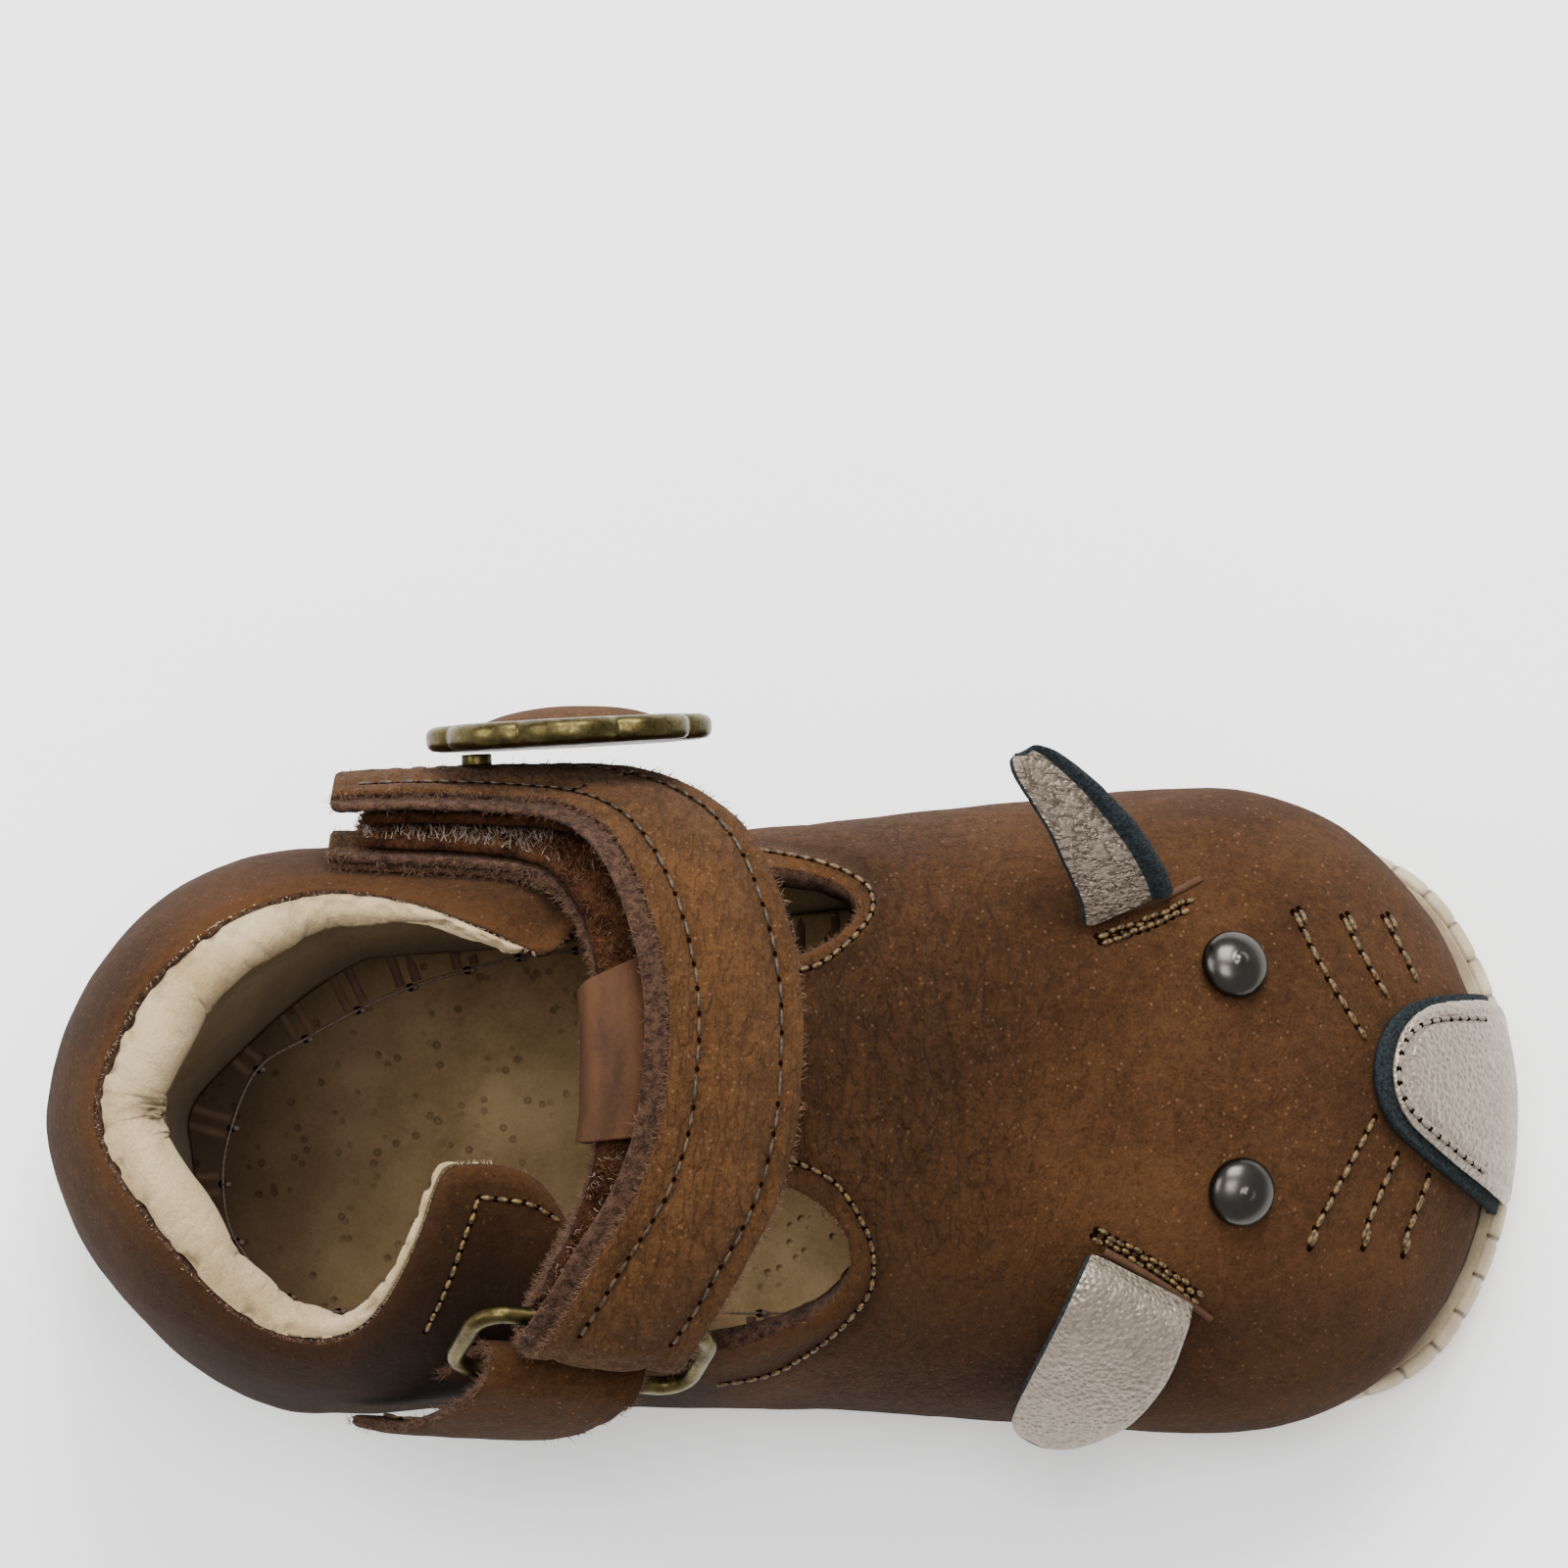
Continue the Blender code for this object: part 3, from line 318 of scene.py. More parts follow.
def fan_reach(direction_x, direction_y, reach, half, full):
    power = full[1 if direction_y >= 0 else -1]
    return (abs(direction_x / reach) ** power + abs(direction_y / half) ** power) ** (-1 / power)


def ground(x):
    along = along_of(x)
    spring = TOE_SPRING * max(0.0, (along - 0.86) / 0.14) ** 2
    heel = HEEL_LIFT * max(0.0, (0.05 - along) / 0.05) ** 2
    return spring + heel + ARCH_LIFT * smooth(0.34, 0.44, along) * (1 - smooth(0.50, 0.60, along))


def dome_height(x, along, share):
    belt = section(along, "belt") * INSTEP_HEIGHT
    rise = section(min(along_of(x), 1.0), "rise") * INSTEP_HEIGHT
    square = section(along, "square")
    return belt + (rise - belt) * max(0.0, 1 - min(share, 1.0) ** square) ** (1 / square)


def dome_over(x, y):
    along = along_of(x)
    if HEEL_POLE <= along <= TOE_POLE:
        return dome_height(x, along, abs(y - centre_y(along)) / half_width(along))
    pole, reach, full = ((HEEL_POLE, HEEL_REACH, HEEL_FULL) if along < HEEL_POLE
                         else (TOE_POLE, TOE_REACH, TOE_FULL))
    arm = Vector((x - world_x(pole), y - centre_y(pole), 0))
    length = fan_reach(*arm.normalized().xy, reach, half_width(pole), full)
    rim_x = world_x(pole) + arm.normalized().x * length
    return dome_height(x, min(along_of(rim_x), 1.0), arm.length / length)


def on_last(x, y, lift=0.0):
    step = 0.0006
    slope_x = (dome_over(x + step, y) - dome_over(x - step, y)) / (2 * step)
    slope_y = (dome_over(x, y + step) - dome_over(x, y - step)) / (2 * step)
    normal = Vector((-slope_x, -slope_y, 1)).normalized()
    return Vector((x, y, dome_over(x, y))) + normal * lift, normal


# Columns round the plan: turn 0 is the toe's tip, and it runs over the lateral side to the heel and back.
Column = namedtuple("Column", "spine rim along")
TOE_TURN, SIDE_TURN = 0.132, 0.252


def column(turn):
    turn %= 1.0
    side = 1 if turn <= 0.5 else -1
    way = turn if side > 0 else 1.0 - turn
    if TOE_TURN <= way <= TOE_TURN + SIDE_TURN:
        along = TOE_POLE + (HEEL_POLE - TOE_POLE) * (way - TOE_TURN) / SIDE_TURN
        spine = Vector((world_x(along), centre_y(along), 0))
        return Column(spine, spine + Vector((0, side * half_width(along), 0)), along)
    if way < TOE_TURN:
        pole, reach, full, angle = TOE_POLE, TOE_REACH, TOE_FULL, math.pi / 2 * way / TOE_TURN
    else:
        pole, reach, full = HEEL_POLE, HEEL_REACH, HEEL_FULL
        angle = math.pi / 2 * (1 + (way - TOE_TURN - SIDE_TURN) / (0.5 - TOE_TURN - SIDE_TURN))
    spine = Vector((world_x(pole), centre_y(pole), 0))
    direction = Vector((math.cos(angle), side * math.sin(angle), 0))
    length = fan_reach(direction.x, direction.y, reach, half_width(pole), full)
    rim = spine + direction * length
    return Column(spine, rim, min(along_of(rim.x), 1.0))


def plan_point(place, share=1.0, inset=0.0):
    arm = place.rim - place.spine
    return place.spine + arm * (share * (1 - inset / arm.length))


def sole_inset(along):
    return SOLE_INSET - (SOLE_INSET + TOE_RIM_PROUD) * smooth(0.84, 0.95, along)


def rim_height(along):
    return SIDE_RIM_HEIGHT + (TOE_RIM_HEIGHT - SIDE_RIM_HEIGHT) * smooth(0.82, 0.94, along)


def upper_inset(along):
    return sole_inset(along) + TOE_RIM_WIDTH + GAP


print("instep at the ball in mm:", round(dome_over(0.07, 0.0) * 1000, 1))

# %% [markdown]
# ## Helpers for sheets of leather
# A leather piece starts as bmesh's flat grid, whose points are then moved to their places on the last. It
# could be sculpted by hand instead, but a grid keeps the leather's own two directions, for creases and
# stitches. A piece is finished by merging doubled points and smoothing its shading.

# %% Sheets and pieces
DOUBLED = 0.000004


def grid(columns, rows, place, paint=None):
    made = bmesh.new()
    bmesh.ops.create_grid(made, x_segments=columns, y_segments=rows, size=0.5)
    if paint:
        for face in made.faces:
            middle = face.calc_center_median()
            face.material_index = paint(middle.x + 0.5, middle.y + 0.5)
    for vert in made.verts:
        vert.co = place(vert.co.x + 0.5, vert.co.y + 0.5)
    bmesh.ops.remove_doubles(made, verts=made.verts, dist=DOUBLED)
    return made


def piece(name, made, finishes, recalculate=True):
    if recalculate:
        bmesh.ops.recalc_face_normals(made, faces=made.faces)
    mesh = bpy.data.meshes.new(name)
    made.to_mesh(mesh)
    made.free()
    for finish in finishes:
        mesh.materials.append(finish.material)
    mesh.shade_smooth()
    item = linked(name, mesh)
    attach(item, "root")
    return item


# Solidify gives a sheet its wall: offset 1 outwards, -1 inwards and 0 both ways.
def thicken(item, thickness, offset, **settings):
    wall = item.modifiers.new("wall", "SOLIDIFY")
    wall.thickness = thickness
    wall.offset = offset
    for key, value in settings.items():
        setattr(wall, key, value)


def face_up(made):
    bmesh.ops.recalc_face_normals(made, faces=made.faces)
    made.normal_update()
    if sum(face.normal.z for face in made.faces) < 0:
        bmesh.ops.reverse_faces(made, faces=made.faces)
        made.normal_update()


def line_length(points):
    return sum((b - a).length for a, b in zip(points, points[1:]))


def in_metres(points):
    return [Vector((x * MM, y * MM, 0)) for x, y in points]


def round_corners(points, times):
    for _ in range(times):
        points = [a.lerp(b, share) for a, b in zip(points, points[1:] + points[:1]) for share in (0.25, 0.75)]
    return points


# The smooth curve from b to c that passes through a, b, c and d, at t from 0 to 1.
def through_four(a, b, c, d, t):
    return 0.5 * (2 * b + (c - a) * t + (2 * a - 5 * b + 4 * c - d) * t**2 + (3 * b - a - 3 * c + d) * t**3)


# A smooth open line through points, with even steps of a length.
def smooth_line(points, step):
    points = [Vector(point) for point in points]
    last = len(points) - 1
    fine = []
    for k in range(last):
        a, b, c, d = points[max(k - 1, 0)], points[k], points[k + 1], points[min(k + 2, last)]
        fine += [through_four(a, b, c, d, i / 24) for i in range(24)]
    fine.append(points[-1])
    total = line_length(fine)
    count = max(1, round(total / step))
    even, walked, target = [fine[0]], 0.0, total / count
    for a, b in zip(fine, fine[1:]):
        side = (b - a).length
        while walked + side >= target * len(even) - 1e-9 and len(even) < count:
            even.append(a.lerp(b, (target * len(even) - walked) / side))
        walked += side
    return even + [fine[-1]]


# A closed outline in plan. Its distance is negative inside it.
class Outline:
    def __init__(self, points):
        self.points = [point.xy for point in points]
        self.tree = kdtree.KDTree(len(points))
        for index, point in enumerate(self.points):
            self.tree.insert((point.x, point.y, 0), index)
        self.tree.balance()
        area = sum(a.x * b.y - a.y * b.x for a, b in zip(self.points, self.points[1:] + self.points[:1]))
        self.turns = 1 if area > 0 else -1

    def distance(self, point):
        flat = point.xy
        _, near, _ = self.tree.find((flat.x, flat.y, 0))
        nearest, inside = 1.0, 0.0
        for k in range(near - 3, near + 3):
            a, b = self.points[k % len(self.points)], self.points[(k + 1) % len(self.points)]
            side = b - a
            t = clamp((flat - a).dot(side) / side.length_squared)
            away = (flat - a - side * t).length
            if away < nearest:
                nearest, inside = away, side.cross(flat - a) * self.turns
        return -nearest if inside > 0 else nearest


# Cuts a sheet where a distance changes sign, and keeps its positive side. A point that lies close to the
# cut slides onto it, so no sliver is left.
def trim(made, distance, snap=0.25):
    values = {vert: distance(vert.co) for vert in made.verts}
    for edge in list(made.edges):
        a, b = edge.verts
        if values[a] * values[b] >= 0:
            continue
        share = values[a] / (values[a] - values[b])
        near, far, part = (a, b, share) if share < 0.5 else (b, a, 1 - share)
        if part < snap:
            near.co = near.co.lerp(far.co, part)
            values[near] = 0.0
    for edge in list(made.edges):
        a, b = edge.verts
        if values[a] * values[b] < 0:
            _, new = bmesh.utils.edge_split(edge, a, values[a] / (values[a] - values[b]))
            values[new] = 0.0
    for face in list(made.faces):
        on_cut = [vert for vert in face.verts if values[vert] == 0.0]
        if len(on_cut) == 2 and not any(on_cut[0] in e.verts and on_cut[1] in e.verts for e in face.edges):
            if any(values[v] > 0 for v in face.verts) and any(values[v] < 0 for v in face.verts):
                bmesh.utils.face_split(face, on_cut[0], on_cut[1])
    bmesh.ops.delete(made, geom=[f for f in made.faces if sum(values[v] for v in f.verts) <= 0], context="FACES")
    bmesh.ops.delete(made, geom=[v for v in made.verts if not v.link_faces], context="VERTS")


def hills(point, size, seed=0.0):
    return noise.noise(point * (1 / size) + Vector((seed, seed * 0.37, -seed)))


def ripple(x, y, z):
    return noise.noise(Vector((x, y, z)))


# 1 at the middle, and close to 0 two widths away from it.
def bell(value, middle, width):
    return math.exp(-((value - middle) / width) ** 2)


print("sheets start from one grid helper")

# %% [markdown]
# ## Nubuck
# Nubuck is leather whose outer side is sanded to a very short nap. It has no gloss. Its colour is cloudy,
# pale where it is rubbed, with fine dark wrinkles, pores and pale specks. The shader mixes two browns by
# clouds of several sizes, draws the wrinkles as winding lines on a squashed copy of the place, and uses
# the same textures for its relief. Three painted attributes follow the shoe's own edges, seams and bends:
# where it is rubbed pale, where painted shade darkens it, and where it is creased.

# %% Nubuck and its raw edge
def nubuck(name, pale, deep, wrinkle_scales, wrinkle_depth=1.0, wrinkle_turn=0.0):
    made = Finish(name, 0.94, Sheen_Weight=0.02, Sheen_Roughness=0.5, Specular_IOR_Level=0.06)
    nap = made.cloud(0.30, 5.0, 0.7)
    patches = made.cloud(11.0, 4.0)
    freckles = made.cloud(1.1, 4.0, 0.65)
    wrinkled = made.squash(wrinkle_scales, (0, 0, wrinkle_turn))
    lines = made.lines(2.6, 0.060, wrinkled, 1.5) * 0.50 + made.lines(1.2, 0.075, wrinkled, 2.0) * 0.50
    pores = made.between(made.dots(0.75), 0.05, 0.30)
    creased = made.attribute("creased")
    folds = 1 - (1 - lines) * creased
    tone = patches * 0.30 + freckles * 0.30 + nap * 0.48 + folds * 0.10 + pores * 0.06
    rubbed = made.attribute("rubbed")
    dark = made.attribute("painted_shade")
    skin = made.blend(made.between(tone + rubbed * 0.35, 0.53, 0.97), deep, pale)
    skin = made.blend(made.between(made.dots(0.95), 0.20, 0.08, 0.0, 0.90) * nap, skin, linear(112, 84, 58))
    # Painted shade: the piece's shade attribute pulls the colour down to this dark brown.
    made.colour(made.blend(dark, skin, linear(22, 12, 5)))
    made.relief(nap * 0.55 + freckles * 0.45 + folds * wrinkle_depth + pores * 0.15, 0.00030)
    return made


upper_nubuck = nubuck("upper_nubuck", linear(84, 55, 31), linear(44, 27, 14), (1.0, 0.36, 0.5), 1.1)
strap_nubuck = nubuck("strap_nubuck", linear(94, 63, 36), linear(56, 36, 19), (1.0, 0.34, 0.5), 1.0, -0.5)
# The tab's browns are a darker copy of the strap's nubuck: painted shade for the shaded medial side, where the tab
# lies.
tab_shaded_nubuck = nubuck("tab_nubuck", linear(76, 50, 28), linear(42, 26, 13), (1.0, 0.5, 0.6), 0.8)

# A cut edge shows the leather's inside: mauve-brown, fibrous and paler at the tips.
raw_edge = Finish("raw_edge", 0.98, Sheen_Weight=0.03, Specular_IOR_Level=0.05)
fibres = raw_edge.cloud(0.22, 5.0, 0.75)
tufts = raw_edge.cloud(0.8, 3.0)
raw_edge.dye(fibres * 0.6 + tufts * 0.5, 0.40, 0.72, linear(32, 20, 14), linear(88, 63, 48))
raw_edge.relief(fibres + tufts * 0.6, 0.00028)

# The lining is a cream suede, with a soft nap and small stains. Where a piece's painted shade is set, it darkens to a
# brown.
cream_suede = Finish("cream_suede", 0.95, Sheen_Weight=0.1, Specular_IOR_Level=0.15)
down = cream_suede.cloud(0.28, 5.0, 0.7)
stains = cream_suede.cloud(7.0, 4.0)
cream_suede.dye(down * 0.5 + stains * 0.6, 0.38, 0.75, linear(150, 128, 90), linear(184, 164, 128),
                linear(80, 54, 30))
cream_suede.relief(down + stains * 0.5, 0.00014)
print("leather finishes: nubuck in three browns, its raw edge and the cream lining")

# %% [markdown]
# ## The upper
# On the real shoe one shell of soft leather is pulled over a last, sewn to a lining and cut away at the
# collar and beside the T-bar. Here the grid is wrapped round the last from the sole to the middle line,
# its opening is trimmed along a smooth outline, and a Solidify modifier gives the wall. Before that, each
# point moves a little along its normal: the padded collar swells, the seams sink, and the main creases
# are placed as soft troughs, listed in millimetres across the shoe.

# %% Opening and creases
Edge = namedtuple("Edge", "along across")
OPENING = [
    Edge(0.341, 0.497), Edge(0.317, 0.559), Edge(0.267, 0.700), Edge(0.232, 0.771), Edge(0.188, 0.814),
    Edge(0.143, 0.759), Edge(0.105, 0.643), Edge(0.070, 0.474), Edge(0.044, 0.234), Edge(0.033, 0.064),
    Edge(0.033, -0.076), Edge(0.044, -0.226), Edge(0.066, -0.396), Edge(0.093, -0.576), Edge(0.120, -0.725),
    Edge(0.153, -0.831), Edge(0.189, -0.856), Edge(0.220, -0.786), Edge(0.241, -0.626), Edge(0.257, -0.447),
    Edge(0.265, -0.297), Edge(0.275, -0.218), Edge(0.325, -0.241), Edge(0.348, -0.373), Edge(0.362, -0.575),
    Edge(0.372, -0.836), Edge(0.396, -0.909), Edge(0.452, -0.866), Edge(0.491, -0.816), Edge(0.522, -0.739),
    Edge(0.540, -0.645), Edge(0.544, -0.545), Edge(0.538, -0.455), Edge(0.520, -0.368), Edge(0.492, -0.306),
    Edge(0.450, -0.216), Edge(0.401, -0.164), Edge(0.363, -0.150), Edge(0.361, 0.025), Edge(0.361, 0.410),
    Edge(0.396, 0.416), Edge(0.450, 0.414), Edge(0.497, 0.444), Edge(0.530, 0.511), Edge(0.546, 0.585),
    Edge(0.548, 0.655), Edge(0.538, 0.720), Edge(0.518, 0.772), Edge(0.477, 0.821), Edge(0.432, 0.856),
    Edge(0.391, 0.852), Edge(0.374, 0.784), Edge(0.362, 0.645),
]


def edge_point(edge):
    return Vector((world_x(edge.along), centre_y(edge.along) + edge.across * half_width(edge.along), 0))


opening = Outline(round_corners([edge_point(edge) for edge in OPENING], 3))

# A crease runs from a start to a stop in millimetres, with a width and a depth. A ridge has a depth below 0.
Crease = namedtuple("Crease", "x0 y0 x1 y1 width depth")
CREASES = [
    Crease(49.3, 12.4, 48.6, -0.8, 0.9, 0.30), Crease(50.6, 11.0, 49.8, 3.0, 1.8, -0.18),
    Crease(54.6, 7.9, 54.7, -1.7, 0.8, 0.24), Crease(61.2, 4.6, 61.4, -1.0, 0.8, 0.18),
    Crease(46.5, 4.1, 42.7, -3.7, 1.1, 0.28), Crease(51.5, 5.2, 51.2, -6.0, 0.9, 0.22),
    Crease(45.9, 13.9, 45.1, 5.2, 1.0, 0.20), Crease(57.2, 12.2, 57.3, 4.0, 0.8, 0.14),
    Crease(49.5, 19.6, 62.5, 17.4, 1.6, 0.22), Crease(52.0, 21.6, 61.0, 20.0, 1.8, -0.20),
    Crease(50.0, -10.0, 58.0, -12.5, 1.5, 0.20), Crease(66.5, 9.5, 66.3, 5.0, 0.8, 0.10),
]


def crease_depth(x, y):
    total = 0.0
    for c in CREASES:
        side = Vector((c.x1 - c.x0, c.y1 - c.y0))
        reach = Vector((x - c.x0, y - c.y0))
        t = clamp(reach.dot(side) / side.length_squared)
        wander = 0.5 * noise.noise(Vector((x, y, 0)) * 0.45 + Vector((c.x0, 0, 0)))
        away = (reach - side * t).length + wander * 0.6
        total += c.depth * bell(away, 0, c.width) * math.sin(math.pi * clamp(t, 0.06, 0.94)) ** 0.5
    return total


print("creases placed by hand:", len(CREASES))

# %% [markdown]
# ## The upper, wrapped and cut
# The grid goes once round the plan. Its rows climb from the sole up the side to the widest place, called
# the belt, and on over the dome to the middle line. Then the opening is cut, every point moves along its
# normal, and three attributes say where the nubuck is rubbed, darkened by painted shade or creased.

# %% Wrap the upper
UPPER_COLUMNS, UPPER_ROWS = 380, 96
FOOT_SHARE, BELT_SHARE = 0.04, 0.24
SEAM_FROM_EDGE = 2.3 * MM


def upper_place(turn, up):
    place = column(turn)
    foot = ground(plan_point(place).x) + SOLE_THICKNESS + GAP
    rim = foot + rim_height(place.along)
    if up <= FOOT_SHARE:
        point = plan_point(place, 1.0, upper_inset(place.along))
        return Vector((point.x, point.y, foot + (rim - foot) * up / FOOT_SHARE))
    if up <= BELT_SHARE:
        t = (up - FOOT_SHARE) / (BELT_SHARE - FOOT_SHARE)
        out = 1 - (1 - t) ** 2.1
        point = plan_point(place, 1.0, upper_inset(place.along) * (1 - out))
        belt = section(place.along, "belt") * INSTEP_HEIGHT
        return Vector((point.x, point.y, rim + (belt - rim) * t))
    turn_up = math.pi / 2 * (up - BELT_SHARE) / (1 - BELT_SHARE)
    share = 0.0 if up > 0.9999 else math.cos(turn_up) ** (2 / section(place.along, "square"))
    point = plan_point(place, share)
    return Vector((point.x, point.y, dome_height(point.x, place.along, share)))


shell = grid(UPPER_COLUMNS, UPPER_ROWS, upper_place)


def from_opening(point):
    belt = section(min(along_of(point.x), 1.0), "belt") * INSTEP_HEIGHT
    if point.z < belt * 1.02 or point.x > 0.058:
        return 1.0
    return opening.distance(point)


trim(shell, from_opening)
face_up(shell)
rubbed_layer = shell.verts.layers.float.new("rubbed")
painted_shade_layer = shell.verts.layers.float.new("painted_shade")
creased_layer = shell.verts.layers.float.new("creased")
moves = {}
for vert in shell.verts:
    x, y = vert.co.x * 1000, vert.co.y * 1000
    edge = from_opening(vert.co)
    on_top = smooth(0.012, 0.022, vert.co.z)
    collar = 1 - smooth(17.0, 24.0, x)
    # Uneven leather, the creases, the padded collar with its trough, the seam, and the rounded cut edge.
    lift = 0.35 * hills(vert.co, 0.014) + 0.14 * hills(vert.co, 0.005, 3.0) + 0.05 * hills(vert.co, 0.0021, 5.0)
    lift -= crease_depth(x, y) * on_top
    lift += collar * (0.9 * bell(edge, 0.0035, 0.0035) - 0.5 * bell(edge, 0.0125, 0.003))
    lift -= (1 - collar) * 0.22 * bell(edge, SEAM_FROM_EDGE, 0.0006)
    lift -= 0.35 * (1 - smooth(0.0, 0.0009, edge))
    moves[vert] = vert.normal * (lift * MM)
    vert[rubbed_layer] = max(0.0, 1 - edge / 0.0016) * 0.45 + 0.25 * smooth(-0.2, 0.5, hills(vert.co, 0.02, 8.0))
    vert[creased_layer] = 0.12 + 0.88 * bell(x, 50, 16) * (1 - 0.5 * smooth(6, 22, abs(y - 2)))
    # Painted shade: darker low down, ahead of the strap, on the medial side, along the collar, in creases and at the
    # seam.
    low = 1 - smooth(0.004, 0.016, vert.co.z)
    shaded = math.exp(-((x - 52) / 14) ** 2 - ((y + 1) / 16) ** 2) * 0.40 + 0.3 * smooth(-6, -20, y)
    shaded += 0.24 * smooth(-4, -10, y) * smooth(2, 10, x) * (1 - smooth(30, 40, x))
    shaded += 0.36 * collar * (1 - smooth(0.008, 0.016, edge))
    vert[painted_shade_layer] = min(0.8, 0.45 * low + shaded + 0.5 * max(0.0, crease_depth(x, y)) * on_top
                           + 0.30 * bell(edge, SEAM_FROM_EDGE, 0.0007) * (1 - collar))
for vert, move in moves.items():
    vert.co += move
upper = piece("upper_shell", shell, [upper_nubuck, cream_suede, raw_edge], recalculate=False)
thicken(upper, WALL, -1, use_even_offset=True, use_quality_normals=True, material_offset=1, material_offset_rim=2)
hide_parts("upper")
print("upper faces:", len(upper.data.polygons))

# %% [markdown]
# ## The collar's padded lining
# A cream suede roll sits inside the collar. On the real shoe it is a tube of lining over foam, sewn to the
# nubuck's edge, so it starts right at that edge, swells inwards and dives down the inside. Its width was
# taken from the photograph: about 6 mm at the heel, down to a thin line at the quarters' fronts. Here a tube
# of the grid follows the edge, slightly too slim. A cloth simulation with pressure then puffs it up, with
# its seam held fast and its cloth a little too long, so that it gathers at the seam as sewn lining does.

# %% Collar padding
RollRow = namedtuple("RollRow", "way width drop")
ROLL = [
    RollRow(0.00, 0.9, 1.8), RollRow(0.08, 1.2, 2.2), RollRow(0.16, 2.6, 3.6), RollRow(0.27, 4.6, 5.2),
    RollRow(0.40, 5.8, 6.0), RollRow(0.50, 6.2, 6.2), RollRow(0.60, 5.4, 5.8), RollRow(0.70, 4.3, 5.2),
    RollRow(0.78, 3.2, 4.4), RollRow(0.84, 1.5, 2.8), RollRow(0.90, 1.0, 1.8), RollRow(1.00, 0.8, 1.5),
]
ROLL_COLUMNS, ROLL_ROUND = 460, 28
CORNER_POINTS = 8
SEAM_CLEAR = 0.12 * MM
PAD_PRESSURE, PAD_FRAMES, PAD_CAP, PAD_LONGER = 3.0, 16, 0.0011, 0.05
PAD_SCALE = 60.0
collar_line = smooth_line([(p.x, p.y, 0) for p in opening.points[2:CORNER_POINTS * 20 + 6]], 0.0004)


def roll_size(way, name):
    k = next((i for i in range(len(ROLL) - 1) if way <= ROLL[i + 1].way), len(ROLL) - 2)
    t = smooth(ROLL[k].way, ROLL[k + 1].way, way)
    return (getattr(ROLL[k], name) * (1 - t) + getattr(ROLL[k + 1], name) * t) * MM


def collar_frame(way):
    index = way * (len(collar_line) - 1)
    k = min(int(index), len(collar_line) - 2)
    point = collar_line[k].lerp(collar_line[k + 1], index - k)
    tangent = (collar_line[min(k + 8, len(collar_line) - 1)] - collar_line[max(k - 7, 0)]).normalized()
    inward = Vector((tangent.y, -tangent.x, 0))
    return point, inward if opening.distance(point + inward * 0.001) < 0 else -inward


# The tube's own section, kept clear of the nubuck wall that it wraps: a point that would lie in the wall is
# pushed out past the wall's cut edge.
def roll_place(way, round_share):
    point, inward = collar_frame(way)
    width, drop = roll_size(way, "width"), roll_size(way, "drop")
    ends = max(0.0, min(1.0, way / 0.012, (1 - way) / 0.012)) ** 0.5
    turn = math.tau * round_share + math.pi
    a = width * 0.5 * (1 + math.cos(turn)) * ends
    h = (drop * 0.5 * math.sin(turn) - drop * 0.34) * ends
    seat_point, normal = on_last(point.x, point.y)
    out, rise = -normal.dot(inward), normal.z
    over, deep = a * rise + h * out, a * out - h * rise
    if over < SEAM_CLEAR and deep < WALL + SEAM_CLEAR:
        shift = SEAM_CLEAR - over
        a, h = a + rise * shift, h + out * shift
    return seat_point + inward * a + Vector((0, 0, h))


roll = grid(ROLL_COLUMNS, ROLL_ROUND, roll_place)
collar = piece("collar_roll", roll, [cream_suede])


# Puffs a closed pad up with Blender's cloth. The pad is made 60 times as large first, because the solver's
# steps suit pieces of a metre. No point moves more than the cap.
def puff(item, held_fast):
    rest = [vert.co.copy() for vert in item.data.vertices]
    for vert in item.data.vertices:
        vert.co = vert.co * PAD_SCALE
    seam = item.vertex_groups.new(name="seam")
    seam.add([i for i, co in enumerate(rest) if held_fast(co)], 1.0, "REPLACE")
    cloth = item.modifiers.new("cloth", "CLOTH")
    cloth.settings.vertex_group_mass = "seam"
    cloth.settings.use_pressure = True
    cloth.settings.uniform_pressure_force = PAD_PRESSURE
    cloth.settings.effector_weights.gravity = 0
    cloth.settings.shrink_min = -PAD_LONGER
    cloth.settings.quality = 6
    cloth.collision_settings.use_collision = False
    for frame_number in range(1, PAD_FRAMES + 1):
        bpy.context.scene.frame_set(frame_number)
    swollen = item.evaluated_get(bpy.context.evaluated_depsgraph_get()).to_mesh()
    moves = [vert.co / PAD_SCALE - co for vert, co in zip(swollen.vertices, rest)]
    item.modifiers.remove(cloth)
    item.vertex_groups.remove(seam)
    bpy.context.scene.frame_set(1)
    for vert, co, move in zip(item.data.vertices, rest, moves):
        vert.co = co + move * min(1.0, PAD_CAP / max(move.length, 1e-9))
    print("the pad swelled by up to", round(max(move.length for move in moves) * 1000, 2), "mm")


# What lies near the nubuck's edge and above the wall's middle is the seam, which stays where it is sewn.
def at_seam(co):
    return abs(opening.distance(co)) < 0.0006 + 0.0014 * (co.z < dome_over(co.x, co.y) - 0.0006)


puff(collar, at_seam)
bpy.context.view_layer.update()
